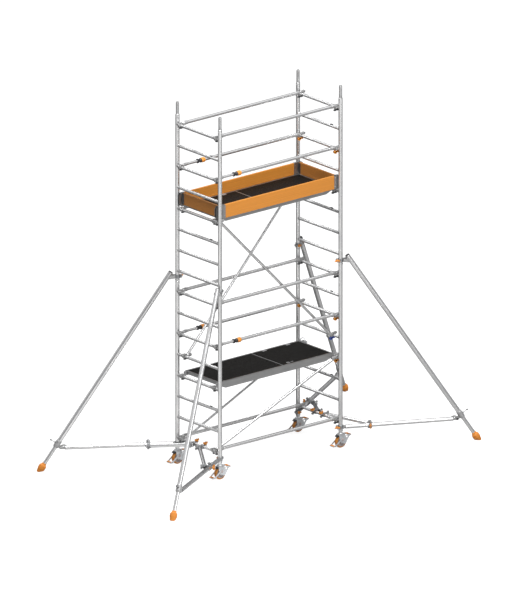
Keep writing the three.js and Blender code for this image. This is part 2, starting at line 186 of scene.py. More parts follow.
def facing(start, end, hint=(0, 0, 1)):
    """A place at start whose Z runs towards end and whose X leans towards hint."""
    z_axis = (Vector(end) - Vector(start)).normalized()
    y_axis = z_axis.cross(Vector(hint)).normalized()
    x_axis = y_axis.cross(z_axis)
    place = Matrix((x_axis, y_axis, z_axis)).transposed().to_4x4()
    place.translation = Vector(start)
    return place


def sideways(side):
    """A turn that points Z along +Y if side is 1 and along -Y if it is -1."""
    return turned_about("X", -90 * side)


def swapped(side):
    """The half turn about Z that takes a shape drawn on the plus side to the side wanted."""
    return turned_about("Z", 0 if side > 0 else 180)


def mirrored(half):
    """A profile made of one half and its mirror image in height."""
    return half + [(radius, -height) for radius, height in reversed(half)]


def ring_profile(inner, outer, low, high, corner=0.001):
    """The closed profile of a plain ring with rounded corners."""
    return rounded([(inner, low), (outer, low), (outer, high), (inner, high)], corner)


# A plate drawn in X and Z: its own y runs up and its thickness runs towards -Y.
UPRIGHT_PLANE = turned_about("X", 90)


# ---------------------------------------------------------------- mesh building


class Piece:
    """A mesh in the making. Each face has a material, and flat coordinates in metres for it."""

    def __init__(self):
        self.mesh = bmesh.new()
        self.flat = self.mesh.loops.layers.uv.new("surface")
        self.materials = []

    def slot(self, material):
        """The number of a material in this mesh."""
        if material not in self.materials:
            self.materials.append(material)
        return self.materials.index(material)

    def face(self, corners, flats, slot):
        """One smooth face with its flat coordinates."""
        face = self.mesh.faces.new(corners)
        face.material_index = slot
        face.smooth = True
        for loop, flat in zip(face.loops, flats):
            loop[self.flat].uv = flat

    def skin(self, rings, material, closed=False):
        """Joins rings of points in order; closed also joins the last ring to the first."""
        slot = self.slot(material)
        rows = [[self.mesh.verts.new(point) for point in ring] for ring in rings]
        joined = rows + rows[:1] if closed else rows
        height = 0.0
        for lower, upper in zip(joined, joined[1:]):
            top = height + (upper[0].co - lower[0].co).length
            across = 0.0
            for number, (a, d) in enumerate(zip(lower, upper)):
                b = lower[(number + 1) % len(lower)]
                c = upper[(number + 1) % len(upper)]
                end = across + max((b.co - a.co).length, (c.co - d.co).length)
                flats = ((across, height), (end, height), (end, top), (across, top))
                self.face((a, b, c, d), flats, slot)
                across = end
            height = top
        return rows

    def cap(self, rows, place, material):
        """Fills the first flat row of corners; the other rows are holes in it."""
        slot = self.slot(material)
        if len(rows) == 1:
            faces = [self.mesh.faces.new(rows[0])]
        else:
            edges = [
                self.mesh.edges.get((a, b)) for row in rows for a, b in zip(row, row[1:] + row[:1])
            ]
            filled = bmesh.ops.triangle_fill(self.mesh, use_beauty=True, edges=edges)
            faces = [item for item in filled["geom"] if isinstance(item, bmesh.types.BMFace)]
        home = place.inverted()
        for face in faces:
            face.material_index = slot
            face.smooth = True
            for loop in face.loops:
                loop[self.flat].uv = (home @ loop.vert.co).xy

    def turned(self, place, profile, material, sides=32, bored=False, lobe=None):
        """A shape turned about the Z of place from a profile of (radius, height).

        The profile of a bored shape is a closed loop. lobe gives a radius factor for an angle.
        """
        angles = [2 * math.pi * number / sides for number in range(sides)]
        rings = []
        for radius, height in profile:
            ring = []
            for angle in angles:
                reach = radius * lobe(angle) if lobe else radius
                ring.append(
                    place @ Vector((reach * math.cos(angle), reach * math.sin(angle), height))
                )
            rings.append(ring)
        rows = self.skin(rings, material, closed=bored)
        if not bored:
            self.cap([rows[0]], place, material)
            self.cap([rows[-1]], place, material)

    def rod(self, place, radius, start, end, material, sides=16):
        """A plain round bar along Z of place."""
        self.turned(place, [(radius, start), (radius, end)], material, sides)

    def tube(self, place, start, end, outer, inner, material, sides=40, chamfer=0.0007):
        """A tube along Z of place, with chamfered rims."""
        profile = [
            (inner, start),
            (outer - chamfer, start),
            (outer, start + chamfer),
            (outer, end - chamfer),
            (outer - chamfer, end),
            (inner, end),
        ]
        self.turned(place, profile, material, sides, bored=True)

    def plate(self, place, outline, thickness, material, edge=0.001, holes=(), rim=None):
        """A plate with rounded rims, from its outline in the XY plane of place, along its Z."""
        levels = []
        for degrees in (0, 45, 90):
            angle = math.radians(degrees)
            levels.append((edge * (1 - math.sin(angle)), edge * (1 - math.cos(angle))))
        levels += [(inset, thickness - height) for inset, height in reversed(levels)]
        bottoms = []
        tops = []
        for loop in [wound(outline, 1)] + [wound(hole, -1) for hole in holes]:
            rings = [
                [place @ Vector((point[0], point[1], height)) for point in shifted(loop, inset)]
                for inset, height in levels
            ]
            rows = self.skin(rings, rim or material)
            bottoms.append(rows[0])
            tops.append(rows[-1])
        self.cap(bottoms, place, material)
        self.cap(tops, place, material)

    def twin_plates(self, place, outline, gap, thickness, material, edge, holes=()):
        """Two equal plates drawn in X and Z of place, at a gap on both sides of its y = 0."""
        for face in (-gap, gap + thickness):
            side = place @ at(0, face, 0) @ UPRIGHT_PLANE
            self.plate(side, outline, thickness, material, edge, holes)

    def block(self, place, size, material, radius=0.002):
        """A box about place with all its edges rounded."""
        low = place @ at(0, 0, -size[2] / 2)
        self.plate(low, rectangle(size[0], size[1], radius), size[2], material, edge=radius)

    def swept(self, path, radius, material, sides=12, closed=False):
        """A round rod along a path. radius is a number, or a function of the way along."""
        points = [Vector(point) for point in path]
        last = len(points) - 1
        rings = []
        side = None
        for number, point in enumerate(points):
            ahead = points[(number + 1) % (last + 1)] if closed or number < last else point
            behind = points[number - 1] if closed or number > 0 else point
            forward = (ahead - behind).normalized()
            side = forward.orthogonal() if side is None else side - forward * side.dot(forward)
            side.normalize()
            up = forward.cross(side)
            size = radius(number / (last + 1)) if callable(radius) else radius
            ring = []
            for step in range(sides):
                angle = 2 * math.pi * step / sides
                ring.append(point + (side * math.cos(angle) + up * math.sin(angle)) * size)
            rings.append(ring)
        rows = self.skin(rings, material, closed=closed)
        if not closed:
            self.cap([rows[0]], facing(points[0], points[1], side), material)
            self.cap([rows[-1]], facing(points[-2], points[-1], side), material)

    def made(self, name):
        """The finished mesh."""
        bmesh.ops.recalc_face_normals(self.mesh, faces=self.mesh.faces)
        mesh = bpy.data.meshes.new(name)
        self.mesh.to_mesh(mesh)
        self.mesh.free()
        for material in self.materials:
            mesh.materials.append(material)
        mesh.set_sharp_from_angle(angle=math.radians(40))
        return mesh


def show(name, mesh, body, nodes=(), place=None):
    """Puts a mesh in the scene, riding on a body and standing for CAD nodes."""
    piece = bpy.data.objects.new(name, mesh)
    bpy.context.scene.collection.objects.link(piece)
    piece.matrix_world = place or Matrix.Identity(4)
    weights = piece.modifiers.new("Even flat faces", "WEIGHTED_NORMAL")
    weights.keep_sharp = True
    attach(piece, body)
    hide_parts(*nodes)
    return piece


# ---------------------------------------------------------------- materials


class NodeTree:
    """A tree of shader nodes in the making."""

    def __init__(self, tree):
        self.tree = tree

    def node(self, kind, inputs, **settings):
        """Adds a node; inputs are values or the outputs of other nodes."""
        made = self.tree.nodes.new("ShaderNode" + kind)
        for name, value in settings.items():
            setattr(made, name, value)
        for socket, value in inputs.items():
            if isinstance(value, bpy.types.NodeSocket):
                self.tree.links.new(value, made.inputs[socket])
            else:
                made.inputs[socket].default_value = value
        return made

    def ranged(self, value, low, high, start=0.3, end=0.7):
        """A value between start and end spread over low to high."""
        inputs = {"Value": value, "From Min": start, "From Max": end, "To Min": low, "To Max": high}
        return self.node("MapRange", inputs).outputs["Result"]

    def maths(self, operation, first, second):
        """One sum on two values."""
        return self.node("Math", {0: first, 1: second}, operation=operation).outputs["Value"]

    def along(self, vector, direction):
        """How far a vector reaches along a direction."""
        inputs = {0: vector, 1: direction}
        return self.node("VectorMath", inputs, operation="DOT_PRODUCT").outputs["Value"]

    def mixed(self, share, first, second):
        """A colour between two colours."""
        node = self.node("Mix", {}, data_type="RGBA")
        sockets = [item for item in node.inputs if item.enabled]
        for socket, value in zip(sockets, (share, first, second)):
            if isinstance(value, bpy.types.NodeSocket):
                self.tree.links.new(value, socket)
            else:
                socket.default_value = value if socket.type == "VALUE" else (*value, 1.0)
        return next(item for item in node.outputs if item.enabled)


class Finish(NodeTree):
    """A procedural material in the making."""

    def __init__(self, name, metallic=0.0):
        self.material = bpy.data.materials.new(name)
        self.material.use_nodes = True
        super().__init__(self.material.node_tree)
        self.shader = self.tree.nodes["Principled BSDF"]
        self.shader.inputs["Metallic"].default_value = metallic

    def flat(self, scale):
        """The surface's own flat coordinates, stretched by scale."""
        source = self.node("UVMap", {}, uv_map="surface").outputs["UV"]
        return self.node("Mapping", {"Vector": source, "Scale": scale}).outputs["Vector"]

    def solid(self, scale):
        """The object's coordinates in space, stretched by scale."""
        source = self.node("TexCoord", {}).outputs["Object"]
        return self.node("Mapping", {"Vector": source, "Scale": scale}).outputs["Vector"]

    def noise(self, vector, detail=4.0, rough=0.55):
        """Soft noise from 0 to 1 over a vector."""
        inputs = {"Vector": vector, "Scale": 1.0, "Detail": detail, "Roughness": rough}
        return self.node("TexNoise", inputs).outputs["Fac"]

    def cells(self, vector, feature="F1", output="Distance"):
        """Cell noise over a vector."""
        inputs = {"Vector": vector, "Scale": 1.0}
        return self.node("TexVoronoi", inputs, feature=feature).outputs[output]

    def waves(self, vector, direction="X", distortion=0.0):
        """Parallel bands over a vector."""
        inputs = {"Vector": vector, "Scale": 1.0, "Distortion": distortion}
        return self.node("TexWave", inputs, bands_direction=direction).outputs["Fac"]

    def bumped(self, height, depth, normal=None):
        """A bump of a real depth in metres."""
        inputs = {"Height": height, "Strength": 1.0, "Distance": depth}
        if normal:
            inputs["Normal"] = normal
        return self.node("Bump", inputs).outputs["Normal"]

    def done(self, colour, roughness, normal=None, **extras):
        """Wires the results to the shader and returns the material."""
        values = {"Base Color": colour, "Roughness": roughness, "Normal": normal, **extras}
        for name, value in values.items():
            if isinstance(value, bpy.types.NodeSocket):
                self.tree.links.new(value, self.shader.inputs[name])
            elif value is not None:
                self.shader.inputs[name].default_value = value
        return self.material


def tone(level, warmth=0.0):
    """A grey, made warmer or cooler by warmth."""
    return (level * (1 + warmth), level, level * (1 - warmth))


def extruded_aluminium(name, level, roughness):
    """Drawn aluminium: fine lines along its length, and dull smears from hands and weather."""
    finish = Finish(name, metallic=0.97)
    lines = finish.noise(finish.flat((1400, 14, 1)), detail=3)
    smears = finish.noise(finish.solid((5, 5, 5)), detail=6)
    nicks = finish.noise(finish.flat((160, 900, 1)), detail=2)
    colour = finish.mixed(
        finish.ranged(smears, 0, 1), tone(level, 0.006), tone(level * 0.84, -0.004)
    )
    dulled = finish.ranged(smears, roughness, roughness + 0.16)
    fine = finish.ranged(lines, -0.05, 0.07)
    struck = finish.ranged(nicks, 0, 0.12, 0.66, 0.74)
    rough = finish.maths("ADD", finish.maths("ADD", dulled, fine), struck)
    ridges = finish.bumped(lines, 0.00006)
    edge = {"Specular Tint": (0.16, 0.16, 0.17, 1.0)}
    return finish.done(colour, rough, finish.bumped(struck, 0.0002, ridges), **edge)


def cast_metal(name, level, roughness, warmth=0.0):
    """Cast metal with a sandy skin and darker pits."""
    finish = Finish(name, metallic=0.85)
    sand = finish.noise(finish.solid((900, 900, 900)), detail=3)
    blotches = finish.noise(finish.solid((45, 45, 45)), detail=5)
    colour = finish.mixed(
        finish.ranged(blotches, 0, 1), tone(level, warmth), tone(level * 0.66, warmth)
    )
    rough = finish.ranged(sand, roughness - 0.07, roughness + 0.14)
    return finish.done(colour, rough, finish.bumped(sand, 0.0004))


def galvanised(name):
    """Hot-dip galvanised steel with its crystal spangle."""
    finish = Finish(name, metallic=0.7)
    spangle = finish.cells(finish.solid((150, 150, 150)), output="Color")
    shade = finish.node("SeparateColor", {"Color": spangle}).outputs["Red"]
    stain = finish.noise(finish.solid((22, 22, 22)), detail=6)
    bright = finish.mixed(shade, tone(0.60, -0.03), tone(0.80, -0.02))
    colour = finish.mixed(finish.ranged(stain, 0, 0.6, 0.5, 0.75), bright, tone(0.33, 0.04))
    dulled = finish.ranged(shade, 0.32, 0.5, 0, 1)
    rough = finish.maths("ADD", dulled, finish.ranged(stain, 0, 0.15))
    return finish.done(colour, rough, finish.bumped(shade, 0.00008))


def moulded(name, colour, worn, roughness, grain=0.00025):
    """Moulded plastic or rubber: fine grain, paler scuffs and a little grime."""
    finish = Finish(name)
    skin = finish.noise(finish.solid((1100, 1100, 1100)), detail=2)
    scuffs = finish.noise(finish.solid((70, 70, 70)), detail=8, rough=0.7)
    grime = finish.noise(finish.solid((18, 18, 18)), detail=5)
    body = finish.mixed(finish.ranged(scuffs, 0, 0.75, 0.56, 0.72), colour, worn)
    dirt = tuple(channel * 0.45 for channel in colour)
    shade = finish.mixed(finish.ranged(grime, 0, 0.45, 0.55, 0.8), body, dirt)
    rough = finish.ranged(scuffs, roughness - 0.06, roughness + 0.18)
    return finish.done(shade, rough, finish.bumped(skin, grain))


def weld_bead(name):
    """A bright weld with heat tint at random places."""
    finish = Finish(name, metallic=1.0)
    ripple = finish.waves(finish.flat((1, 90, 1)), "Y", distortion=1.5)
    tint = finish.noise(finish.solid((60, 60, 60)))
    colour = finish.mixed(finish.ranged(tint, 0, 1), tone(0.66), tone(0.4, 0.05))
    rough = finish.ranged(ripple, 0.34, 0.5, 0, 1)
    return finish.done(colour, rough, finish.bumped(ripple, 0.0003))


def film_faced(name):
    """Phenolic film on plywood: dark brown, pressed with a wire mesh, and scuffed by boots."""
    finish = Finish(name)
    mesh_pitch = 1 / 0.011
    one = finish.waves(finish.flat((mesh_pitch, mesh_pitch, 1)), "DIAGONAL")
    other = finish.waves(finish.flat((-mesh_pitch, mesh_pitch, 1)), "DIAGONAL")
    wires = finish.ranged(finish.maths("MAXIMUM", one, other), 0, 1, 0.72, 0.98)
    streaks = finish.noise(finish.flat((5, 60, 1)), detail=6, rough=0.65)
    scuffs = finish.noise(finish.solid((28, 42, 28)), detail=9, rough=0.72)
    film = finish.mixed(finish.ranged(streaks, 0, 1), (0.004, 0.0035, 0.003), (0.010, 0.009, 0.008))
    colour = finish.mixed(finish.ranged(scuffs, 0, 0.5, 0.57, 0.8), film, (0.040, 0.037, 0.034))
    rough = finish.maths(
        "ADD", finish.ranged(scuffs, 0.5, 0.74), finish.ranged(wires, 0, -0.1, 0, 1)
    )
    shine = {"Specular IOR Level": 0.09}
    return finish.done(colour, rough, finish.bumped(wires, 0.0005), **shine)


def ply_edge(name):
    """The sawn edge of plywood: thin layers, light and dark in turn, sealed with brown paint."""
    finish = Finish(name)
    layers = finish.waves(finish.flat((1, 330, 1)), "Y", distortion=0.4)
    fibres = finish.noise(finish.flat((900, 260, 1)), detail=3)
    wood = finish.mixed(finish.ranged(layers, 0, 1), (0.20, 0.11, 0.055), (0.42, 0.27, 0.15))
    colour = finish.mixed(finish.ranged(fibres, 0, 0.5), wood, (0.10, 0.055, 0.03))
    return finish.done(colour, finish.ranged(fibres, 0.62, 0.85), finish.bumped(layers, 0.0002))


def painted_board(name, paint, bare, grain_depth):
    """A painted wooden plank: grain runs along it under the paint, which is worn here and there."""
    finish = Finish(name)
    growth = finish.noise(finish.solid((2.6, 40, 75)), detail=5, rough=0.6)
    rings = finish.waves(finish.solid((0.7, 9, 26)), "Z", distortion=7.0)
    fibres = finish.noise(finish.solid((26, 500, 900)), detail=3)
    wear = finish.noise(finish.solid((9, 30, 30)), detail=9, rough=0.75)
    deep = tuple(channel * 0.8 for channel in paint)
    grain = finish.maths("MULTIPLY", rings, growth)
    tinted = finish.mixed(finish.ranged(grain, 0, 0.85, 0.12, 0.5), paint, deep)
    colour = finish.mixed(finish.ranged(wear, 0, 0.55, 0.64, 0.8), tinted, bare)
    rough = finish.maths("ADD", finish.ranged(growth, 0.36, 0.5), finish.ranged(wear, 0, 0.15))
    raised = finish.bumped(fibres, grain_depth)
    return finish.done(colour, rough, finish.bumped(grain, grain_depth * 3, raised))


FRAME_METAL = extruded_aluminium("Frame aluminium", 0.88, 0.17)
RAIL_METAL = extruded_aluminium("Rail aluminium", 0.86, 0.18)
DECK_METAL = extruded_aluminium("Deck aluminium", 0.47, 0.30)
LEG_METAL = extruded_aluminium("Outrigger aluminium", 0.90, 0.20)
CAST = cast_metal("Cast aluminium", 0.58, 0.44)
FORGED = cast_metal("Forged coupler steel", 0.42, 0.44, -0.02)
DARK_STEEL = cast_metal("Dark zinc steel", 0.16, 0.4, -0.03)
BOLT_STEEL = cast_metal("Bright zinc bolts", 0.6, 0.3)
ZINC = galvanised("Galvanised steel")
WELD = weld_bead("Weld")
ORANGE = moulded("Orange plastic", (0.70, 0.25, 0.025), (0.84, 0.42, 0.12), 0.42)
ORANGE_RUBBER = moulded("Orange rubber", (0.72, 0.25, 0.03), (0.80, 0.38, 0.11), 0.58, 0.0005)
TYRE = moulded("Polyurethane tyre", (0.50, 0.19, 0.025), (0.60, 0.31, 0.10), 0.46)
HUB = moulded("Hub nylon", (0.44, 0.38, 0.37), (0.58, 0.53, 0.5), 0.5)
BLACK = moulded("Black plastic", (0.018, 0.018, 0.019), (0.09, 0.09, 0.09), 0.45)
BLUE = moulded("Blue plastic", (0.07, 0.12, 0.48), (0.20, 0.26, 0.62), 0.45)
FILM = film_faced("Phenolic film")
PLY_EDGE = ply_edge("Plywood edge")
ORANGE_BOARD = painted_board("Orange board", (0.62, 0.235, 0.03), (0.68, 0.38, 0.15), 0.00008)
# The end boards' paint is the orange board's paint darkened to about seven tenths: painted shade on
# the end boards.
END_BOARD_PAINTED_SHADE = painted_board("Orange board darkened as painted shade", (0.42, 0.165, 0.03), (0.48, 0.28, 0.12), 0.00015)


# ---------------------------------------------------------------- fittings


def rivet(piece, place, radius, material=BOLT_STEEL):
    """A domed rivet head that stands along Z of place."""
    dome = [(1.0, 0.0), (1.0, 0.2), (0.75, 0.5), (0.3, 0.65)]
    profile = [(across * radius, up * radius) for across, up in dome]
    piece.turned(place, profile, material, sides=12)


def bolt(piece, place, radius, length, material=BOLT_STEEL):
    """A bolt along Z of place with a hexagon head at its start and a nut at its end."""
    head = radius * 1.9
    hexagon = [(0.9, 0.0), (1.0, 0.2), (1.0, 1.2), (0.9, 1.4)]
    piece.rod(place, radius, 0, length, material)
    for height in (-radius, length - radius * 1.6):
        profile = [(across * head, height + up * radius) for across, up in hexagon]
        piece.turned(place, profile, material, sides=6)


def wing_nut(piece, place):
    """An orange wing nut with two broad wings that screws down along Z of place."""
    washer = ring_profile(0.0065, 0.017, 0, 0.0025, 0.0006)
    piece.turned(place, washer, BOLT_STEEL, bored=True)
    hub = [(0.0155, 0.0025), (0.0155, 0.012), (0.0125, 0.027), (0.007, 0.029)]
    piece.turned(place, rounded(hub, 0.002, loop=False), ORANGE, sides=28)
    piece.turned(place, [(0.0052, 0.02), (0.0052, 0.036), (0.004, 0.0375)], BOLT_STEEL, sides=16)
    for side in (-1, 1):
        wing = [
            (side * 0.008, 0.004),
            (side * 0.024, 0.005),
            (side * 0.032, 0.013),
            (side * 0.033, 0.027),
            (side * 0.025, 0.036),
            (side * 0.014, 0.030),
            (side * 0.008, 0.027),
        ]
        blade = place @ at(0, 0.0065, 0) @ UPRIGHT_PLANE
        piece.plate(blade, rounded(wing, 0.006), 0.013, ORANGE, edge=0.005)


def coupler(piece, place, tube_radius, width=0.044, winged=True):
    """A hinged coupler round a tube along Z of place. Its swing bolt is on the +X side."""
    inner = tube_radius + 0.0007
    outer = tube_radius + 0.0075
    half = width / 2
    band = mirrored(
        [
            (inner, -half),
            (outer - 0.002, -half),
            (outer, -half + 0.008),
            (outer - 0.0015, -half + 0.012),
        ]
    )
    piece.turned(place, rounded(band, 0.0015), FORGED, sides=40, bored=True)
    for side in (-1, 1):
        jaw = place @ at(outer + 0.008, side * 0.0115, 0)
        piece.block(jaw, (0.030, 0.009, width * 0.78), FORGED, 0.003)
    hinge = place @ at(-outer - 0.0015, 0, 0)
    knuckle = ring_profile(0.003, 0.0075, -half, half, 0.0015)
    piece.turned(hinge, knuckle, FORGED, sides=20, bored=True)
    piece.rod(hinge, 0.0042, -half - 0.003, half + 0.003, BOLT_STEEL, sides=14)
    across = place @ at(outer + 0.012, -0.021, 0) @ sideways(1)
    if winged:
        piece.rod(across, 0.0055, -0.002, 0.046, BOLT_STEEL)
        piece.block(across @ at(0, 0, -0.002), (0.020, 0.026, 0.006), BOLT_STEEL, 0.002)
        wing_nut(piece, across @ at(0, 0, 0.038))
    else:
        bolt(piece, across, 0.0055, 0.050)


def spring_clip(piece, height, radius, turn):
    """A locking pin through a tube on the Z axis, held by a spring wire round the tube."""
    pin = turned_about("Z", turn) @ at(0, 0, height)
    reach = radius + 0.006
    through = pin @ turned_about("Y", 90)
    point = [(0.0032, -reach), (0.0038, -reach + 0.002), (0.0038, reach)]
    piece.turned(through, point, BOLT_STEEL, sides=14)
    wire = [pin @ Vector((x, y, 0)) for x, y in arc((0, 0), radius + 0.0028, 0, 205, 22)]
    tail = pin @ Vector((-radius - 0.016, -0.016, 0.001))
    piece.swept([*wire, tail], 0.0016, DARK_STEEL, sides=8)


def end_plug(piece, place, radius):
    """A black plug that closes a tube whose open end faces Z of place."""
    profile = [(radius - 0.004, -0.012), (radius - 0.004, 0), (radius, 0), (radius, 0.003)]
    profile += [(radius - 0.003, 0.006), (0.004, 0.007)]
    piece.turned(place, profile, BLACK, sides=28)


CLAW_INNER = RUNG_RADIUS + 0.002
CLAW_OUTER = RUNG_RADIUS + 0.013


def claw(piece, place, width, catch, neck_radius, neck_rise):
    """A cast claw over a rung along Y of place; X of place points outboard.

    catch is the material of the latch that closes the claw under the rung. The neck plugs the
    tube that the claw carries, which lies inboard at neck_rise above the rung.
    """
    boss = (-0.0315, -0.007)
    outline = arc((0, 0), CLAW_OUTER, -34, 18, 8)
    outline += [(0.047, 0.014), (0.051, 0.030), (0.041, 0.040), (0.022, 0.036)]
    outline += arc((0, 0), CLAW_OUTER + 0.001, 82, 148, 10)
    outline += [(-0.0345, 0.010), (-0.0395, -0.004)]
    outline += arc(boss, 0.0085, 190, 320, 6)
    outline += arc((0, 0), CLAW_INNER, 206, -34, 22)
    side = place @ at(0, width / 2, 0) @ UPRIGHT_PLANE
    piece.plate(side, outline, width, CAST, edge=0.0022)
    for across in (-1, 1):
        rib = place @ at(0, across * width * 0.34 + 0.003, 0) @ UPRIGHT_PLANE
        ridge = arc((0, 0), CLAW_OUTER + 0.0045, 30, 140, 14)
        ridge += arc((0, 0), CLAW_OUTER - 0.002, 140, 30, 14)
        piece.plate(rib, ridge, 0.006, CAST, edge=0.0015)
    latch = arc((0, 0), CLAW_INNER + 0.0015, 214, 298, 10)
    latch += arc((0, 0), CLAW_INNER + 0.019, 302, 240, 8)
    latch += [(-0.030, -0.040), (-0.050, -0.038), (-0.054, -0.024), (-0.030, -0.013)]
    coloured = catch in (ORANGE, BLUE)
    half = width * (0.5 if coloured else 0.3)
    flap = place @ at(0, half, 0) @ UPRIGHT_PLANE
    piece.plate(flap, rounded(latch, 0.002), half * 2, catch, edge=0.002)
    if coloured:
        grip = place @ at(-0.032, half, -0.032) @ sideways(-1)
        thumb = [(0.016, 0), (0.020, 0.003), (0.020, width - 0.003), (0.016, width)]
        piece.turned(grip, rounded(thumb, 0.002, loop=False), catch, sides=24)
    pin = place @ at(boss[0], width / 2 - 0.001, boss[1]) @ sideways(1)
    rivet(piece, pin, 0.0055)
    rivet(piece, pin @ at(0, 0, 0.002 - width) @ turned_about("X", 180), 0.0055)
    root = place @ at(-0.092, 0, neck_rise) @ turned_about("Y", 90)
    ferrule = [
        (neck_radius - 0.0005, 0),
        (neck_radius + 0.0030, 0.001),
        (neck_radius + 0.0042, 0.014),
        (neck_radius + 0.0042, 0.052),
        (neck_radius + 0.0005, 0.062),
        (neck_radius - 0.0060, 0.074),
    ]
    piece.turned(root, rounded(ferrule, 0.002, False), CAST, sides=28)


# ---------------------------------------------------------------- ladder frames


def fluted_rung(piece, height):
    """A rung with fine grip flutes, shaped at its ends to the round of the uprights."""
    flutes = 24
    points_per_flute = 4
    count = flutes * points_per_flute
    left = []
    right = []
    for number in range(count):
        angle = 2 * math.pi * number / count
        radius = RUNG_RADIUS - 0.0004 + 0.0004 * math.cos(flutes * angle)
        x = radius * math.cos(angle)
        z = height + radius * math.sin(angle)
        end = HALF_WIDTH - math.sqrt(UPRIGHT_RADIUS**2 - x**2) + 0.001
        left.append((x, -end, z))
        right.append((x, end, z))
    piece.skin([left, right], FRAME_METAL)


def rung_weld(piece, height, side):
    """The bead where a rung meets an upright."""
    steps = 60
    path = []
    for number in range(steps):
        angle = 2 * math.pi * number / steps
        x = RUNG_RADIUS * math.cos(angle)
        y = side * (HALF_WIDTH - math.sqrt(UPRIGHT_RADIUS**2 - x**2))
        path.append((x, y, height + RUNG_RADIUS * math.sin(angle)))
    ripple = 126

    def bead(share):
        return 0.0027 + 0.0004 * math.sin(share * ripple)

    piece.swept(path, bead, WELD, sides=8, closed=True)


# Painted shadow: dark steel blocks on top of these rungs stand for dark marks of shade on the
# rungs; no fitting is there.
SHADOW_MARK_RUNGS = (3, 7)
SHADOW_MARK_Y = -0.220


def ladder_frame():
    """One ladder frame, standing on z = 0 across x = 0."""
    piece = Piece()
    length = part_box("lower_frame_right")[1].z - FRAME_BASE - 0.15
    for side in (-1, 1):
        foot = at(0, side * HALF_WIDTH, 0)
        bore = UPRIGHT_RADIUS - WALL
        piece.tube(foot, 0, length, UPRIGHT_RADIUS, bore, FRAME_METAL, sides=48, chamfer=0.0012)
        spigot = [
            (bore - 0.0002, length - 0.06),
            (bore - 0.0002, length - 0.001),
            (SPIGOT_RADIUS + 0.0012, length + 0.003),
            (SPIGOT_RADIUS, length + 0.006),
            (SPIGOT_RADIUS, SPIGOT_TOP - 0.012),
            (SPIGOT_RADIUS - 0.004, SPIGOT_TOP - 0.001),
            (SPIGOT_RADIUS - 0.005, SPIGOT_TOP),
            (SPIGOT_RADIUS - 0.007, SPIGOT_TOP),
            (SPIGOT_RADIUS - 0.007, length - 0.06),
        ]
        piece.turned(foot, rounded(spigot, 0.001), CAST, 40, bored=True)
        for degrees in (0, 180):
            head = turned_about("Z", degrees) @ at(UPRIGHT_RADIUS - 0.0004, 0, length - 0.03)
            rivet(piece, foot @ head @ turned_about("Y", 90), 0.005)
    for number in range(RUNG_COUNT):
        height = RUNG_PITCH * (number + 0.5)
        fluted_rung(piece, height)
        for side in (-1, 1):
            rung_weld(piece, height, side)
        # A dark block on top of the rung: painted shadow, not a real fitting.
        if number + 1 in SHADOW_MARK_RUNGS:
            lug = at(0, SHADOW_MARK_Y, height + RUNG_RADIUS + 0.002)
            piece.block(lug, (0.016, 0.040, 0.010), DARK_STEEL, 0.004)
    return piece.made("ladder_frame")


def add_frames():
    """Two lifts of two ladder frames, with a locking clip at the foot of each upright."""
    mesh = ladder_frame()
    clip_height = 0.0165
    clip = Piece()
    spring_clip(clip, clip_height, UPRIGHT_RADIUS, 90)
    clip_mesh = clip.made("spring_clip")
    for lift, base in (("lower", FRAME_BASE), ("upper", FRAME_BASE + LIFT)):
        for side, sign in (("left", -1), ("right", 1)):
            name = f"{lift}_frame_{side}"
            place = at(sign * HALF_LENGTH, 0, base)
            show(f"ladder_{name}", mesh, "root", [name], place)
            for depth, out_y in (("front", -1), ("back", 1)):
                part = f"clip_{lift}_{depth}_{side}"
                foot = place @ at(0, out_y * HALF_WIDTH, 0) @ swapped(out_y)
                show(part, clip_mesh, "root", (), foot)


# ---------------------------------------------------------------- castors


def castor_fork():
    """The swivelling fork, centred on the stem, with the ground at z = 0."""
    piece = Piece()
    gap = 0.028
    cheek = 0.004
    crown_low = WHEEL_RADIUS * 2 + 0.004
    crown_top = crown_low + 0.008
    stem = [
        (0.0335, crown_top - 0.001),
        (0.0345, crown_top + 0.003),
        (0.033, crown_top + 0.007),
        (0.0245, crown_top + 0.011),
        (0.0205, crown_top + 0.018),
        (0.0200, FRAME_BASE - 0.002),
        (0.0195, FRAME_BASE + 0.002),
        (0.0195, FRAME_BASE + 0.108),
        (0.017, FRAME_BASE + 0.110),
    ]
    piece.turned(at(0, 0, 0), stem, ZINC, sides=40)
    for height in (crown_top + 0.0045, crown_low - 0.003):
        race = ring_profile(0.026, 0.0365, height, height + 0.004)
        piece.turned(at(0, 0, 0), race, BOLT_STEEL, sides=40, bored=True)
    crown = rectangle(0.092, (gap + cheek) * 2, 0.016)
    piece.plate(at(0, 0, crown_low), crown, crown_top - crown_low, ZINC, edge=0.002)
    outline = rounded(
        [
            (-0.044, crown_top - 0.001),
            (-0.041, 0.110),
            (-0.018, 0.057),
            (0.018, 0.057),
            (0.034, 0.104),
            (0.040, 0.136),
            (0.044, crown_top - 0.001),
        ],
        0.012,
    )
    piece.twin_plates(at(0, 0, 0), outline, gap, cheek, ZINC, 0.0012)
    for side in (-1, 1):
        pivot = at(0, side * 0.029, BRAKE_PIVOT_Z) @ sideways(side)
        piece.rod(pivot, 0.005, 0, 0.012, BOLT_STEEL)
        cap = [(0.0175, 0), (0.0185, 0.001), (0.0165, 0.003), (0.009, 0.004), (0.005, 0.006)]
        piece.turned(pivot @ at(0, 0, 0.0105), cap, HUB, 28)
    axle = at(0, -0.0352, WHEEL_RADIUS) @ sideways(1)
    head = [(0.006, 0), (0.013, 0.0004), (0.0135, 0.0034), (0.007, 0.0034)]
    head += [(0.007, 0.067), (0.0135, 0.067), (0.013, 0.070), (0.006, 0.0704)]
    piece.turned(axle, head, BOLT_STEEL, sides=24)
    shoe = at(-0.053, 0, 0.146) @ turned_about("Y", -36)
    piece.block(shoe, (0.030, 0.050, 0.014), BLACK, 0.004)
    return piece.made("castor_fork")


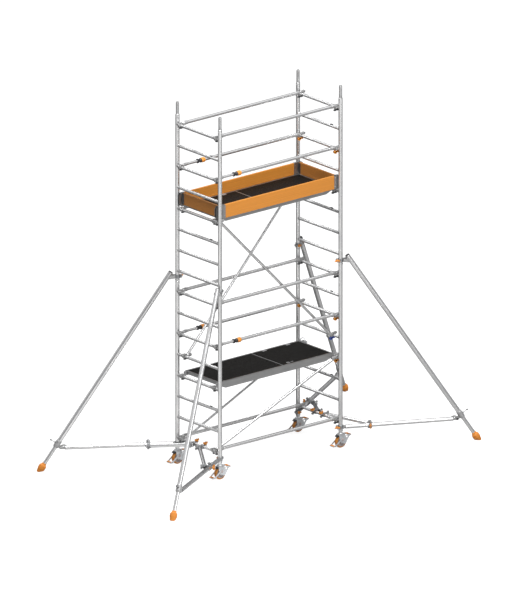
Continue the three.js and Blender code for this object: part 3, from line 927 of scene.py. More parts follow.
def castor_wheel():
    """The wheel about its own centre, rolling about Y: a spoked hub in a polyurethane tyre."""
    piece = Piece()
    axis = sideways(-1)
    half = (wheel_high.y - wheel_low.y) / 2 - 0.002
    rim = 0.058
    tyre = mirrored(
        [
            (rim, -half + 0.002),
            (rim + 0.006, -half),
            (WHEEL_RADIUS - 0.004, -half + 0.004),
            (WHEEL_RADIUS, -half + 0.010),
        ]
    )
    piece.turned(axis, rounded(tyre, 0.003), TYRE, sides=64, bored=True)
    hub = mirrored(
        [
            (0.008, -0.025),
            (0.017, -0.025),
            (0.020, -0.021),
            (0.022, -0.010),
            (0.044, -0.010),
            (0.052, -half + 0.004),
            (rim + 0.0005, -half + 0.003),
        ]
    )
    piece.turned(axis, rounded(hub, 0.0015), HUB, sides=64, bored=True)
    spokes = 8
    for number in range(spokes):
        turn = axis @ turned_about("Z", number * 360 / spokes)
        for side in (-1, 1):
            piece.block(turn @ at(0.034, 0, side * 0.0135), (0.030, 0.005, 0.010), HUB, 0.0015)
    return piece.made("castor_wheel")


def brake_rocker():
    """The brake: broad side arms pivoted on the fork, with a foot tread at each end."""
    piece = Piece()
    arm = 0.003
    arm_outer = 0.039
    outline = rounded(
        [
            (-0.132, 0.034),
            (-0.100, 0.034),
            (-0.050, 0.070),
            (-0.030, 0.082),
            (0.026, 0.046),
            (0.050, 0.052),
            (0.080, 0.100),
            (0.100, 0.126),
            (0.131, 0.133),
            (0.131, 0.145),
            (0.088, 0.152),
            (0.050, 0.150),
            (0.010, 0.123),
            (-0.025, 0.118),
            (-0.062, 0.084),
            (-0.112, 0.050),
            (-0.132, 0.046),
        ],
        0.007,
    )
    bore = arc((0, BRAKE_PIVOT_Z), 0.0056, 0, 330, 11)
    window = arc((0.062, 0.128), 0.0115, 0, 345, 15)
    piece.twin_plates(
        at(0, 0, 0), outline, arm_outer - arm, arm, ZINC, 0.0008, holes=[bore, window]
    )
    press = at(0.116, 0, 0.1405)
    release = at(-0.112, 0, 0.039)
    tread = 0.030
    for place in (press, release):
        piece.block(place, (tread, arm_outer * 2, 0.011), ORANGE, 0.004)
        for number in (-1, 0, 1):
            ridge = place @ at(number * tread * 0.28, 0, 0.0055)
            piece.block(ridge, (0.003, arm_outer * 1.7, 0.002), ORANGE, 0.0008)
    piece.block(at(-0.129, 0, 0.036), (0.010, arm_outer * 2, 0.009), ZINC, 0.003)
    return piece.made("brake_rocker")


def add_castors():
    """A castor under each corner: its fork, wheel and brake each ride on their own body."""
    fork = castor_fork()
    wheel = castor_wheel()
    rocker = brake_rocker()
    for name, out_x, out_y in CORNERS:
        place = at(out_x * HALF_LENGTH, out_y * HALF_WIDTH, 0)
        hub = place @ at(0, 0, WHEEL_RADIUS)
        parts = (
            ("fork", fork, "castor", "galvanised_steel", "castor_fork", place),
            ("wheel", wheel, "wheel", "castor_tyre", "castor_wheel", hub),
            ("brake", rocker, "brake", "orange_plastic", "brake_pedal", place),
        )
        for kind, mesh, body, slot, node, where in parts:
            show(f"{kind}_{name}", mesh, f"{body}_{name}", [f"{node}_{name}"], where)


# ---------------------------------------------------------------- rails and braces

TUBE_END = HALF_LENGTH - 0.032
RIVET_INSET = 0.022
CLAW_WIDTH = 0.032
BRACE_CLAW_WIDTH = 0.026
rail_low, rail_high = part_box("guardrail_upper_front")
RAIL_Y = -(rail_low.y + rail_high.y) / 2
RAIL_RISE = rail_high.z - RAIL_RADIUS - rung_z(UPPER_GUARD_RUNG)
lock_low, lock_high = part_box("twist_lock_upper_front")


def end_claws(piece, radius, rise, width, catches):
    """A claw at each end of a rail that lies along X at y = 0, above rungs at z = 0."""
    for outboard, catch in zip((-1, 1), catches):
        place = at(outboard * HALF_LENGTH, 0, 0) @ swapped(outboard)
        claw(piece, place, width, catch, radius[0] if outboard < 0 else radius[1], rise)


def tube_rivets(piece, x, z, radius):
    """The pair of rivets that hold a claw in the end of a tube along X."""
    for side in (-1, 1):
        place = at(x, side * (radius - 0.0004), z) @ sideways(side)
        rivet(piece, place, 0.0045)


def plain_rail():
    """A guardrail about y = 0, above rungs at z = 0."""
    piece = Piece()
    along = at(0, 0, RAIL_RISE) @ turned_about("Y", 90)
    piece.tube(along, -TUBE_END, TUBE_END, RAIL_RADIUS, RAIL_RADIUS - WALL, RAIL_METAL)
    for end in (-1, 1):
        tube_rivets(piece, end * (TUBE_END - RIVET_INSET), RAIL_RISE, RAIL_RADIUS)
    radii = (RAIL_RADIUS, RAIL_RADIUS)
    end_claws(piece, radii, RAIL_RISE, CLAW_WIDTH, (DARK_STEEL, DARK_STEEL))
    return piece.made("plain_rail")


def telescopic_rail():
    """A rail whose slim left tube slides in the right one, with a black collar at the mouth."""
    piece = Piece()
    along = at(0, 0, RAIL_RISE) @ turned_about("Y", 90)
    mouth = lock_low.x - 0.006
    overlap = 0.2
    slim = INNER_RAIL_RADIUS
    bore = slim + 0.0006
    piece.tube(along, -TUBE_END, mouth + overlap, slim, slim - WALL, RAIL_METAL, sides=36)
    piece.tube(along, mouth, TUBE_END, RAIL_RADIUS, bore, RAIL_METAL)
    collar = [
        (bore, mouth - 0.050),
        (0.0265, mouth - 0.050),
        (0.0255, mouth - 0.040),
        (0.0195, mouth - 0.028),
        (0.0195, mouth - 0.018),
        (0.0255, mouth - 0.006),
        (0.0265, mouth + 0.004),
        (bore, mouth + 0.004),
    ]
    piece.turned(along, rounded(collar, 0.002), BLACK, sides=40, bored=True)
    tube_rivets(piece, RIVET_INSET - TUBE_END, RAIL_RISE, slim)
    tube_rivets(piece, TUBE_END - RIVET_INSET, RAIL_RISE, RAIL_RADIUS)
    end_claws(piece, (slim, RAIL_RADIUS), RAIL_RISE, CLAW_WIDTH, (DARK_STEEL, ORANGE))
    return piece.made("telescopic_rail")


def twist_lock():
    """The lobed locking ring of a telescopic rail, about its own centre, along X."""
    piece = Piece()
    half = (lock_high.x - lock_low.x) / 2
    outer = (lock_high.z - lock_low.z) / 2
    bore = RAIL_RADIUS + 0.0012
    barrel = [
        (bore, -half),
        (outer * 0.80, -half),
        (outer * 0.93, -half * 0.72),
        (outer, -half * 0.2),
        (outer, half * 0.35),
        (outer * 0.92, half * 0.8),
        (outer * 0.80, half),
        (bore, half),
    ]
    lobes = 8
    bulge = 1.06
    depth = 0.04
    grip = turned_about("Y", 90)

    def lobe(angle):
        return bulge + depth * math.cos(lobes * angle)

    piece.turned(grip, rounded(barrel, 0.003), ORANGE, sides=lobes * 8, bored=True, lobe=lobe)
    band = ring_profile(bore, outer * 0.84, half - 0.002, half + 0.002)
    piece.turned(grip, band, HUB, sides=40, bored=True)
    return piece.made("twist_lock")


def add_rails():
    """Guardrails, base rails and telescopic knee rails on both long sides."""
    plain = plain_rail()
    telescopic = telescopic_rail()
    lock = twist_lock()
    plain_rungs = {
        "guardrail_upper": UPPER_GUARD_RUNG,
        "guardrail_lower": LOWER_GUARD_RUNG,
        "base_rail": BASE_RUNG,
    }
    knee_rungs = {"upper": UPPER_KNEE_RUNG, "lower": LOWER_KNEE_RUNG}
    for side, y in (("front", -RAIL_Y), ("back", RAIL_Y)):
        for kind, rung in plain_rungs.items():
            name = f"{kind}_{side}"
            show(f"tube_{name}", plain, "root", [name], at(0, y, rung_z(rung)))
        for level, rung in knee_rungs.items():
            rail = f"telescopic_rail_{level}_{side}"
            knob = f"twist_lock_{level}_{side}"
            place = at(0, y, rung_z(rung))
            show(f"knee_{rail}", telescopic, "root", [rail], place)
            show(f"knob_{knob}", lock, knob, [knob], at(*middle(knob)))


def diagonal(start, end, catches):
    """A brace from (y, rung) at the left frame to (y, rung) at the right frame."""
    piece = Piece()
    rise = 0.008
    left = Vector((-TUBE_END, start[0], rung_z(start[1]) + rise))
    right = Vector((TUBE_END, end[0], rung_z(end[1]) + rise))
    length = (right - left).length
    bore = BRACE_RADIUS - WALL
    piece.tube(facing(left, right), 0, length, BRACE_RADIUS, bore, RAIL_METAL, sides=36)
    for outboard, (y, rung), catch in zip((-1, 1), (start, end), catches):
        place = at(outboard * HALF_LENGTH, y, rung_z(rung)) @ swapped(outboard)
        claw(piece, place, BRACE_CLAW_WIDTH, catch, BRACE_RADIUS, rise)
    return piece


def add_braces():
    """The crossed braces of the upper bay and the braces of the base bay."""
    beside_deck = 0.325
    inside_rails = 0.245
    beside_base_rail = 0.272
    high = UPPER_DECK_RUNG
    low = BRACE_FOOT_RUNG
    upper = {
        "front": ((-beside_deck, high), (-inside_rails, low), (DARK_STEEL, BLUE)),
        "back": ((inside_rails, low), (beside_deck, high), (DARK_STEEL, DARK_STEEL)),
    }
    for side, ends in upper.items():
        name = f"diagonal_upper_{side}"
        show(f"brace_{name}", diagonal(*ends).made(name), "root", [name])
    for side, sign in (("front", -1), ("back", 1)):
        name = f"diagonal_lower_{side}"
        foot = (sign * beside_base_rail, BASE_RUNG)
        head = (sign * beside_deck, LOWER_DECK_RUNG)
        catches = (DARK_STEEL, ORANGE if side == "front" else DARK_STEEL)
        mesh = diagonal(foot, head, catches).made(name)
        show(f"brace_{name}", mesh, "root", [name])


# ---------------------------------------------------------------- decks

DECK_TOP = 0.060
BEAM_DEPTH = 0.080
BEAM_WIDTH = 0.022
BOARD_THICKNESS = 0.010
DECK_HALF_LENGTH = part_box("deck_board_upper")[1].x + 0.0244
DECK_HALF_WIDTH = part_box("deck_board_upper")[1].y + BEAM_WIDTH + 0.0004
HINGE_LENGTH = 0.060
DECK_CLAW_Y = 0.283


def side_beam(piece, side, z):
    """A ribbed deck beam along X, shallower at both ends."""
    section = [
        (BEAM_WIDTH, 1.0),
        (0.0, 1.0),
        (0.0, 0.84),
        (0.0014, 0.82),
        (0.0014, 0.77),
        (0.0, 0.75),
        (0.0, 0.36),
        (0.0014, 0.34),
        (0.0014, 0.29),
        (0.0, 0.27),
        (0.0, 0.0),
        (BEAM_WIDTH, 0.0),
        (BEAM_WIDTH, 0.045),
        (0.0035, 0.045),
        (0.0035, 0.80),
        (BEAM_WIDTH + 0.016, 0.80),
        (BEAM_WIDTH + 0.016, 0.865),
        (BEAM_WIDTH, 0.865),
    ]
    section = [(inward, share * BEAM_DEPTH) for inward, share in section]
    section = rounded(section, 0.0006, steps=2)
    taper = 0.100
    end_depth = 0.040
    stations = [
        (-DECK_HALF_LENGTH, end_depth),
        (-DECK_HALF_LENGTH + taper, BEAM_DEPTH),
        (DECK_HALF_LENGTH - taper, BEAM_DEPTH),
        (DECK_HALF_LENGTH, end_depth),
    ]
    rings = []
    for x, depth in stations:
        ring = []
        for inward, height in section:
            drop = (BEAM_DEPTH - height) * depth / BEAM_DEPTH
            ring.append((x, side * (DECK_HALF_WIDTH - inward), z + DECK_TOP - drop))
        rings.append(ring)
    rows = piece.skin(rings, DECK_METAL)
    for row, x in ((rows[0], -DECK_HALF_LENGTH), (rows[-1], DECK_HALF_LENGTH)):
        piece.cap([row], at(x, 0, z) @ turned_about("Y", 90), DECK_METAL)


def wind_lock(piece, outboard, y, z):
    """A wire bail over the rung that stops wind from lifting the deck."""
    x = outboard * HALF_LENGTH
    half = 0.052
    bail = [
        (x - outboard * 0.050, y + half, z + 0.014),
        (x - outboard * 0.010, y + half, z + 0.030),
        (x, y + half * 0.92, z + 0.060),
        (x, y + half * 0.3, z + 0.086),
        (x, y - half * 0.4, z + 0.080),
        (x, y - half * 0.9, z + 0.050),
        (x + outboard * 0.004, y - half, z + 0.022),
        (x + outboard * 0.022, y - half, z + 0.002),
    ]
    piece.swept(rounded(bail, 0.02, loop=False, steps=5), 0.0045, ZINC, sides=10)


def deck_frame(hatch_side, z, hinges):
    """The deck's aluminium frame, about the axis height of the rungs that carry it."""
    piece = Piece()
    inner = DECK_HALF_WIDTH - BEAM_WIDTH
    ledge = z + DECK_TOP - BOARD_THICKNESS - 0.0004
    hatch_line = hatch_side * abs(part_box("hatch_lower")[0].x - 0.0006)
    for side in (-1, 1):
        side_beam(piece, side, z)
        end = at(side * (DECK_HALF_LENGTH - 0.013), 0, z + DECK_TOP - 0.019)
        piece.block(end, (0.022, inner * 2 + 0.004, 0.038), DECK_METAL, 0.002)
        for y in (-DECK_CLAW_Y, DECK_CLAW_Y):
            place = at(side * HALF_LENGTH, y, z) @ swapped(side)
            claw(piece, place, 0.034, DARK_STEEL, 0.012, 0.020)
            piece.block(place @ at(-0.066, 0, 0.035), (0.080, 0.030, 0.044), CAST, 0.004)
        for number in range(-5, 6):
            top = at(number * 0.152, side * (inner + 0.011), z + DECK_TOP - 0.0002)
            rivet(piece, top, 0.0045)
    for x in (hatch_line, -hatch_side * 0.34, hatch_side * 0.52):
        bearer = at(x, 0, (z + 0.004 + ledge) / 2)
        piece.block(bearer, (0.040, inner * 2 + 0.004, ledge - z - 0.004), DECK_METAL, 0.002)
    strip = at(hatch_line - hatch_side * 0.004, 0, z + DECK_TOP + 0.0004)
    piece.block(strip, (0.009, inner * 2, 0.0012), BOLT_STEEL, 0.0005)
    for x in hinges:
        leaf = at(x, inner + 0.0105, z + DECK_TOP + 0.0006)
        piece.block(leaf, (HINGE_LENGTH * 0.94, 0.018, 0.0018), CAST, 0.0006)
        for knuckle in (-1, 1):
            barrel = at(x + knuckle * 0.036, HINGE_Y, z + DECK_TOP + 0.0015)
            axis = barrel @ turned_about("Y", 90)
            piece.rod(axis, 0.004, -0.0045, 0.0045, BOLT_STEEL, sides=14)
    return piece


def board_sheet(node):
    """A fixed deck board in the place of a CAD node."""
    low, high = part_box(node)
    piece = Piece()
    size = high - low
    outline = rectangle(size.x, size.y, 0.002)
    centre = (low + high) / 2
    place = at(centre.x, centre.y, low.z)
    piece.plate(place, outline, size.z, FILM, edge=0.0008, rim=PLY_EDGE)
    return piece


def hatch_sheet(node, hinges, latch, z):
    """A hatch board with its finger hole, latch and hinge leaves."""
    low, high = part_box(node)
    top = z + DECK_TOP
    back = HINGE_Y
    piece = Piece()
    width = back - 0.0015 - low.y
    place = at((low.x + high.x) / 2, low.y + width / 2, top - BOARD_THICKNESS)
    home = place.translation
    hole = arc((latch[0] - home.x, latch[1] - home.y), 0.016, 0, 345, 23)
    outline = rectangle(high.x - low.x, width, 0.002)
    piece.plate(place, outline, BOARD_THICKNESS, FILM, 0.0008, holes=[hole], rim=PLY_EDGE)
    ring = [(0.0155, -0.010), (0.0155, 0.0004), (0.016, 0.0012), (0.024, 0.0012), (0.0245, 0)]
    ring += [(0.0165, 0), (0.0163, -0.010)]
    piece.turned(at(latch[0], latch[1], top), ring, BOLT_STEEL, sides=32, bored=True)
    for side in (-1, 1):
        rivet(piece, at(latch[0] + side * 0.0204, latch[1], top + 0.0011), 0.0022)
    bolt_x = latch[0] + math.copysign(0.055, low.x + high.x)
    piece.block(at(bolt_x, latch[1], top + 0.0015), (0.036, 0.014, 0.003), BOLT_STEEL, 0.001)
    for x in hinges:
        leaf = at(x, back - 0.016, top + 0.0008)
        piece.block(leaf, (HINGE_LENGTH * 0.94, 0.026, 0.0018), BOLT_STEEL, 0.0006)
        for number in (-1, 0, 1):
            rivet(piece, leaf @ at(number * 0.018, -0.003, 0.0008), 0.0032)
        pin = at(x, back, top + 0.0015) @ turned_about("Y", 90)
        barrel = rounded(mirrored([(0.003, -0.03), (0.004, -0.029)]), 0.0008, loop=False)
        piece.turned(pin, barrel, BOLT_STEEL, sides=18)
    return piece


def add_decks():
    """Two decks: the lower one has its hatch on the right, the upper one on the left."""
    hinge_centres = (0.300, 0.650)
    latch_x = 0.230
    latch_y = -0.243
    for level, rung, hatch_side in (("lower", LOWER_DECK_RUNG, 1), ("upper", UPPER_DECK_RUNG, -1)):
        z = rung_z(rung)
        hinges = [hatch_side * x for x in hinge_centres]
        latch = (hatch_side * latch_x, latch_y)
        frame_piece = deck_frame(hatch_side, z, hinges)
        wind_lock(frame_piece, 1, 0.28, z)
        board = f"deck_board_{level}"
        hatch = f"hatch_{level}"
        parts = (
            ("frame", frame_piece, "root", "deck_aluminium", f"deck_frame_{level}"),
            ("board", board_sheet(board), "root", "phenolic_plywood", board),
            ("hatch", hatch_sheet(hatch, hinges, latch, z), hatch, "phenolic_plywood", hatch),
        )
        for kind, piece, body, slot, node in parts:
            show(f"platform_{kind}_{level}", piece.made(node), body, [node])


# ---------------------------------------------------------------- toe boards


def long_toe_board(side):
    """A long toe board with a long aluminium fitting at one end and a short one at the other.

    It is drawn as the front board about the middle of its length; turned half a turn about Z,
    it is the back board.
    """
    low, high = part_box(f"toe_board_{side}")
    skin = 0.003
    y = -abs(low.y + high.y) / 2
    thickness = high.y - low.y - skin * 2
    height = high.z - low.z - 0.001
    piece = Piece()
    start, end = -0.785, 0.838
    centre = at((start + end) / 2, y, low.z + height / 2)
    piece.block(centre, (end - start + 0.01, thickness, height), ORANGE_BOARD, 0.003)
    slot = rounded([(0.050, 0.05), (0.064, 0.05), (0.064, 0.112), (0.050, 0.112)], 0.006)
    for root, outboard in ((start, -1), (end, 1)):
        reach = abs(high.x) - abs(root)
        fitting = rounded(
            [
                (0, 0),
                (reach - 0.030, 0),
                (reach, 0.030),
                (reach, height - 0.026),
                (reach - 0.022, height + 0.001),
                (0, height + 0.001),
            ],
            0.010,
        )
        place = at(root, y, low.z) @ swapped(outboard)
        piece.twin_plates(place, fitting, thickness / 2, skin, DECK_METAL, 0.0008, holes=[slot])
        for across in (-1, 1):
            for number in (0, 1, 2):
                head = place @ at(0.016, across * (thickness / 2 + skin), 0.030 + number * 0.050)
                rivet(piece, head @ sideways(across), 0.005)
        bridge = at(root + outboard * reach * 0.4, y, low.z + height - 0.001)
        piece.block(bridge, (reach * 0.76, thickness + skin, 0.003), DECK_METAL, 0.001)
    return piece


def end_toe_board(side):
    """A short toe board across the end of the deck, with a metal shoe at each of its ends."""
    low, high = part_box(f"toe_board_{side}")
    piece = Piece()
    size = high - low
    centre = Matrix.Translation((low + high) / 2)
    # The board's brown is the orange paint darkened as painted shade.
    piece.block(centre, (size.x, size.y - 0.004, size.z), END_BOARD_PAINTED_SHADE, 0.003)
    for end in (-1, 1):
        shoe = centre @ at(0, end * (size.y / 2 - 0.014), 0)
        piece.block(shoe, (size.x + 0.003, 0.028, size.z - 0.014), DARK_STEEL, 0.002)
    return piece


def add_toe_boards():
    """Toe boards round the upper deck."""
    for side in ("front", "back", "left", "right"):
        name = f"toe_board_{side}"
        made = long_toe_board(side) if side in ("front", "back") else end_toe_board(side)
        turn = swapped(-1 if side == "back" else 1)
        show(f"plank_{name}", made.made(name), "root", [name], turn)


# ---------------------------------------------------------------- outriggers

# Outriggers are drawn pointing along +X from an upright on the Z axis, and then turned.
slide = Vector(joint("outrigger_telescope_front_left")["axis"])
LEG_DOWN = Vector((math.hypot(slide.x, slide.y), 0, slide.z))
OUTRIGGER_AIM = Vector((abs(slide.x), abs(slide.y))).normalized()
LEG_TIP = Vector((1.600, 0, 0))
LEG_LENGTH = 2.299 / -LEG_DOWN.z
LEG = facing(LEG_TIP - LEG_DOWN * LEG_LENGTH, LEG_TIP, (1, 0, 0))
LEG_RADIUS = 0.027
FOOT_RADIUS = 0.022
LOWER_CLAMP_Z = joint("outrigger_swing_front_left")["pos_m"][2]
UPPER_CLAMP_Z = 2.246
STRUT_PIN = Vector((1.352, 0, 0.268))
STRUT_START = 0.058
STRUT_END = 1.300
SLEEVE = (2.330, 2.420)


def upright_clamp(piece, height):
    """A coupler round the upright, its wing nut on the inboard side."""
    coupler(piece, at(0, 0, height) @ swapped(-1), UPRIGHT_RADIUS)


def outrigger_leg():
    """The outer tube with its upper clamp, and the locking sleeve at its lower end."""
    piece = Piece()
    upright_clamp(piece, UPPER_CLAMP_Z)
    lug = rounded(
        [
            (0.030, UPPER_CLAMP_Z - 0.018),
            (0.100, UPPER_CLAMP_Z - 0.026),
            (0.112, UPPER_CLAMP_Z),
            (0.092, UPPER_CLAMP_Z + 0.022),
            (0.030, UPPER_CLAMP_Z + 0.018),
        ],
        0.008,
    )
    piece.twin_plates(at(0, 0, 0), lug, LEG_RADIUS + 0.0005, 0.004, CAST, 0.0012)
    bridge = at(0.034, 0, UPPER_CLAMP_Z)
    piece.block(bridge, (0.012, LEG_RADIUS * 2 + 0.002, 0.032), CAST, 0.003)
    pin = at(0.092, -LEG_RADIUS - 0.008, UPPER_CLAMP_Z - 0.002) @ sideways(1)
    bolt(piece, pin, 0.006, LEG_RADIUS * 2 + 0.022)
    bore = FOOT_RADIUS + 0.0012
    piece.tube(LEG, 0, SLEEVE[0] + 0.03, LEG_RADIUS, bore, LEG_METAL, sides=44)
    end_plug(piece, LEG @ turned_about("X", 180), LEG_RADIUS)
    sleeve = [
        (bore, SLEEVE[0]),
        (LEG_RADIUS + 0.002, SLEEVE[0]),
        (LEG_RADIUS + 0.006, SLEEVE[0] + 0.010),
        (LEG_RADIUS + 0.006, SLEEVE[1] - 0.012),
        (LEG_RADIUS + 0.003, SLEEVE[1] - 0.004),
        (LEG_RADIUS + 0.003, SLEEVE[1]),
        (bore, SLEEVE[1]),
    ]
    piece.turned(LEG, rounded(sleeve, 0.002), CAST, sides=40, bored=True)
    lock_pin(piece, SLEEVE[0] + 0.045)
    eye = [(-0.013, -0.012), (0.010, -0.015), (0.040, 0.016), (0.020, 0.046), (-0.013, 0.013)]
    place = at(STRUT_PIN.x, 0.007, STRUT_PIN.z) @ UPRIGHT_PLANE
    piece.plate(place, rounded(eye, 0.008), 0.014, CAST, edge=0.002)
    return piece.made("outrigger_leg")


def lock_pin(piece, along):
    """A spring pin on the outer face of the leg, with its pull rod."""
    place = LEG @ at(LEG_RADIUS - 0.002, 0, along) @ turned_about("Y", 90)
    housing = [(0.010, 0), (0.010, 0.010), (0.0085, 0.013), (0.006, 0.014)]
    piece.turned(place, housing, DARK_STEEL, sides=20)
    piece.rod(place, 0.0045, 0.01, 0.070, BOLT_STEEL, sides=12)
    grip = [(0.0065, 0.058), (0.0085, 0.061), (0.0085, 0.072), (0.0060, 0.076)]
    piece.turned(place, grip, DARK_STEEL, sides=16)
    bail = ((0, 0.012, 0.006), (0, 0.020, 0.010), (0, 0.022, 0.026))
    path = [place @ Vector(point) for point in bail]
    piece.swept(rounded(path, 0.006, loop=False), 0.0018, ZINC, sides=8)


def outrigger_foot():
    """The inner tube, drilled for the lock pin, standing on an orange rubber foot."""
    piece = Piece()
    start = 1.780
    foot = 2.650
    piece.tube(LEG, start, foot + 0.02, FOOT_RADIUS, FOOT_RADIUS - WALL, LEG_METAL)
    for along in (foot - 0.060, foot - 0.120, foot - 0.180):
        for side in (-1, 1):
            place = LEG @ at(0, side * (FOOT_RADIUS - 0.0006), along) @ sideways(side)
            rim = [(0.0045, 0), (0.0055, 0.0008), (0.0068, 0.0006), (0.007, 0)]
            piece.turned(place, rim, BOLT_STEEL, sides=16, bored=True)
            # The hole is not cut: a thin black disc fills it as painted shade of the hole's dark
            # inside.
            piece.rod(place, 0.0046, 0, 0.0003, BLACK)
    boot = [
        (0.0240, foot - 0.004),
        (0.0275, foot),
        (0.0275, foot + 0.012),
        (0.0320, foot + 0.016),
        (0.0385, foot + 0.024),
        (0.0425, foot + 0.036),
        (0.0435, foot + 0.052),
        (0.0425, foot + 0.068),
        (0.0385, foot + 0.080),
        (0.0290, LEG_LENGTH + 0.012),
        (0.0180, LEG_LENGTH + 0.018),
    ]
    piece.turned(LEG, rounded(boot, 0.003, loop=False), ORANGE_RUBBER, sides=48)
    for vertex in piece.mesh.verts:
        vertex.co.z = max(vertex.co.z, 0.0)
    ridge = [(0.0410, 0), (0.0440, 0.002), (0.0410, 0.004), (0.0380, 0.002)]
    for low in (foot + 0.030, foot + 0.044, foot + 0.058):
        ring = [(radius, low + height) for radius, height in ridge]
        piece.turned(LEG, ring, ORANGE_RUBBER, sides=48, bored=True)
    return piece.made("outrigger_foot")


def on_strut_axis(reach):
    """The point on the strut's axis at a distance from the upright."""
    share = (reach - STRUT_START) / (STRUT_PIN.x - STRUT_START)
    return Vector((reach, 0, LOWER_CLAMP_Z + (STRUT_PIN.z - LOWER_CLAMP_Z) * share))


def outrigger_strut():
    """The strut from the lower clamp to the leg's sleeve, with its fork and pin."""
    piece = Piece()
    upright_clamp(piece, LOWER_CLAMP_Z)
    start = on_strut_axis(STRUT_START)
    end = on_strut_axis(STRUT_END)
    length = (end - start).length
    along = facing(start, end)
    radius = UPRIGHT_RADIUS
    piece.tube(along, 0, length, radius, radius - WALL, LEG_METAL, sides=44)
    piece.block(at(0.050, 0, LOWER_CLAMP_Z), (0.050, 0.020, 0.040), CAST, 0.004)
    for side in (-1, 1):
        flank = at(0.085, side * (radius - 0.0006), LOWER_CLAMP_Z)
        rivet(piece, flank @ sideways(side), 0.006)
    ear = rounded(
        [
            (STRUT_END - 0.032, -0.019),
            (STRUT_PIN.x + 0.013, -0.015),
            (STRUT_PIN.x + 0.013, 0.014),
            (STRUT_END + 0.034, 0.034),
            (STRUT_END + 0.006, 0.036),
            (STRUT_END - 0.032, 0.017),
        ],
        0.010,
    )
    eye = arc((STRUT_END + 0.018, 0.014), 0.0105, 0, 345, 15)
    level = at(0, 0, STRUT_PIN.z)
    piece.twin_plates(level, ear, 0.0085, 0.0065, CAST, 0.0015, holes=[eye])
    end_plug(piece, along @ at(0, 0, length - 0.004), radius)
    pin = at(STRUT_PIN.x, -0.017, STRUT_PIN.z) @ sideways(1)
    bolt(piece, pin, 0.005, 0.036)
    end_plug(piece, pin @ turned_about("X", 180) @ at(0, 0, 0.004), 0.0125)
    return piece.made("outrigger_strut")


def outrigger_stay(out_x, out_y):
    """The stay that holds the strut's angle: a tube coupled to the bottom rung and the strut."""
    piece = Piece()
    rung_y = HALF_WIDTH - 0.300
    grip = 0.340
    aside = 0.062
    rung = Vector((out_x * HALF_LENGTH, out_y * rung_y, rung_z(BASE_RUNG)))
    upright = Vector((out_x * HALF_LENGTH, out_y * HALF_WIDTH, 0))
    strut = Vector((out_x * OUTRIGGER_AIM.x, out_y * OUTRIGGER_AIM.y, 0))
    inward = Vector((out_x * OUTRIGGER_AIM.y, -out_y * OUTRIGGER_AIM.x, 0))
    on_strut = upright + strut * grip + Vector((0, 0, on_strut_axis(grip).z))
    near_rung = rung + Vector((out_x * 0.050, 0, -0.004))
    near_strut = on_strut + inward * aside
    direction = (near_strut - near_rung).normalized()
    tail = near_rung - direction * 0.030
    nose = near_strut + direction * 0.034
    radius = 0.021
    length = (nose - tail).length
    along = facing(tail, nose)
    piece.tube(along, 0, length, radius, radius - WALL, LEG_METAL)
    end_plug(piece, along @ at(0, 0, length - 0.002), radius)
    end_plug(piece, along @ at(0, 0, 0.002) @ turned_about("X", 180), radius)
    rung_grip = facing(rung, rung + Vector((0, out_x, 0)), (-out_x, 0, 0))
    coupler(piece, rung_grip, RUNG_RADIUS)
    outward = -inward
    strut_grip = facing(on_strut, on_strut + strut, (0, 0, 1))
    coupler(piece, strut_grip, UPRIGHT_RADIUS, winged=False)
    wing_nut(piece, facing(on_strut + outward * 0.030, on_strut + outward, (0, 0, 1)))
    tube_side = Vector((out_x, 0, 0))
    for centre, away in ((near_rung, tube_side), (near_strut, inward)):
        saddle = facing(centre, centre + direction, away)
        coupler(piece, saddle, radius, width=0.036, winged=False)
    for start, end in ((rung, near_rung), (on_strut, near_strut)):
        link = facing(start.lerp(end, 0.35), end)
        piece.rod(link, 0.011, 0, (end - start).length * 0.4, FORGED, sides=20)
    return piece.made("outrigger_stay")


def add_outriggers():
    """Four outriggers, each turned to its corner, with a stay to the bottom rung."""
    leg = outrigger_leg()
    foot = outrigger_foot()
    strut = outrigger_strut()
    for name, out_x, out_y in CORNERS:
        heading = math.degrees(math.atan2(out_y * OUTRIGGER_AIM.y, out_x * OUTRIGGER_AIM.x))
        place = at(out_x * HALF_LENGTH, out_y * HALF_WIDTH, 0) @ turned_about("Z", heading)
        stay = outrigger_stay(out_x, out_y)
        parts = (
            ("leg", leg, "outrigger", place),
            ("strut", strut, "outrigger", place),
            ("stay", stay, "outrigger", None),
            ("foot", foot, "outrigger_foot", place),
        )
        for kind, mesh, body, where in parts:
            node = f"outrigger_{kind}_{name}"
            show(f"{kind}_{name}", mesh, f"{body}_{name}", [node], where)


# ---------------------------------------------------------------- stage

VIEW_AZIMUTH = -40.25
VIEW_ELEVATION = 18.16
VIEW_HEIGHT = 6.836
VIEW_AIM = Vector((0, 0, 1.863))
LAMP_AIM = Vector((0, 0, 1.9))
LAMP_DISTANCE = 10


FLOOR_FRONT = (0.50, -0.86, 0)
FLOOR_LEFT = (-0.97, -0.26, 0)


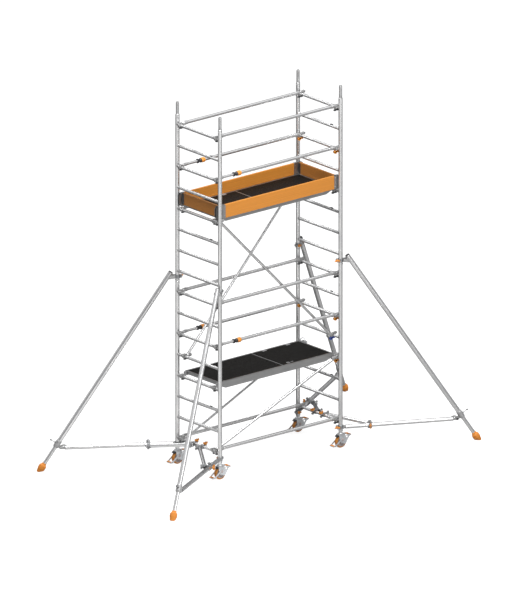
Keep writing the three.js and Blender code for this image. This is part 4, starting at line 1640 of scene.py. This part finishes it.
def add_floor():
    """A wide pale floor. The camera sees it near white; the metal mirrors a greyer ground.

    The metal also mirrors the floor brighter in front, and brighter still on the left.
    """
    width = 120
    mesh = bpy.data.meshes.new("floor")
    corners = [(x, y, 0) for x, y in rectangle(width, width)]
    mesh.from_pydata(corners, [], [(0, 1, 2, 3)])
    finish = Finish("Floor")
    seen = finish.node("LightPath", {}).outputs["Is Camera Ray"]
    place = finish.node("NewGeometry", {}).outputs["Position"]
    away = finish.node("VectorMath", {0: place}, operation="NORMALIZE").outputs["Vector"]
    front = finish.ranged(finish.along(away, FLOOR_FRONT), 0.02, 0.30, -0.2, 0.6)
    bright = finish.ranged(finish.along(away, FLOOR_LEFT), 0, 0.65, 0.6, 0.92)
    reflected = finish.maths("ADD", front, bright)
    glow = finish.maths("MAXIMUM", finish.maths("MULTIPLY", seen, 0.82), reflected)
    finish.shader.inputs["Emission Color"].default_value = (1, 1, 1, 1)
    colour = finish.mixed(seen, (0.12, 0.12, 0.12), (0.36, 0.36, 0.36))
    mesh.materials.append(finish.done(colour, 0.9, **{"Emission Strength": glow}))
    floor = bpy.data.objects.new("floor", mesh)
    bpy.context.scene.collection.objects.link(floor)


def add_light(name, direction, size, power):
    """A soft square lamp in a direction from the middle of the tower, facing it."""
    lamp = bpy.data.lights.new(name, "AREA")
    lamp.size = size
    lamp.energy = power
    holder = bpy.data.objects.new(name, lamp)
    bpy.context.scene.collection.objects.link(holder)
    away = Vector(direction).normalized()
    holder.location = LAMP_AIM + away * LAMP_DISTANCE
    holder.rotation_euler = away.to_track_quat("Z", "Y").to_euler()


HORIZON_COLOUR = (0.09, 0.09, 0.095)
ZENITH_COLOUR = (0.52, 0.52, 0.53)
ZENITH = 0.8
SKY_PANES = (((0.60, -0.30, 0.74), 0.50), ((-0.30, 0.72, 0.62), 0.40))


def add_world():
    """A plain studio: bright overhead, dim at the horizon and white where the camera sees it.

    Two soft bright panes in the sky shine along the top of the rails and of the rungs.
    """
    world = bpy.data.worlds.new("Studio")
    bpy.context.scene.world = world
    world.use_nodes = True
    sky = NodeTree(world.node_tree)
    ahead = sky.node("TexCoord", {}).outputs["Generated"]
    height = sky.node("SeparateXYZ", {"Vector": ahead}).outputs["Z"]
    level = sky.ranged(height, 0, 1, 0, ZENITH)
    colour = sky.mixed(level, HORIZON_COLOUR, ZENITH_COLOUR)
    for direction, strength in SKY_PANES:
        nearness = sky.along(ahead, Vector(direction).normalized())
        pane = sky.ranged(nearness, 0, strength, 0.70, 0.92)
        colour = sky.node("VectorMath", {0: colour, 1: pane}).outputs["Vector"]
    seen = sky.node("LightPath", {}).outputs["Is Camera Ray"]
    shown = sky.mixed(seen, colour, (1, 1, 1))
    sky.tree.links.new(shown, sky.tree.nodes["Background"].inputs["Color"])


def add_camera():
    """A parallel camera that looks from the front, a little to the left and above."""
    azimuth = math.radians(VIEW_AZIMUTH)
    elevation = math.radians(VIEW_ELEVATION)
    level = math.cos(elevation)
    back = Vector((math.sin(azimuth) * level, -math.cos(azimuth) * level, math.sin(elevation)))
    data = bpy.data.cameras.new("camera")
    data.type = "ORTHO"
    data.ortho_scale = VIEW_HEIGHT
    data.clip_end = 200
    camera = bpy.data.objects.new("camera", data)
    bpy.context.scene.collection.objects.link(camera)
    camera.location = VIEW_AIM + back * 20
    camera.rotation_euler = back.to_track_quat("Z", "Y").to_euler()
    bpy.context.scene.camera = camera


def add_stage():
    """Floor, lights, world and camera."""
    add_floor()
    add_world()
    add_camera()
    add_light("key", (-0.22, -0.40, 1.0), 4, 1080)
    add_light("front", (-0.10, -1.0, 0.20), 5, 230)
    add_light("rim", (0.1, 1.0, 0.9), 4, 160)
    bpy.context.scene.view_settings.view_transform = "Standard"


# ---------------------------------------------------------------- the tower

add_frames()
add_castors()
add_rails()
add_braces()
add_decks()
add_toe_boards()
add_outriggers()
add_stage()
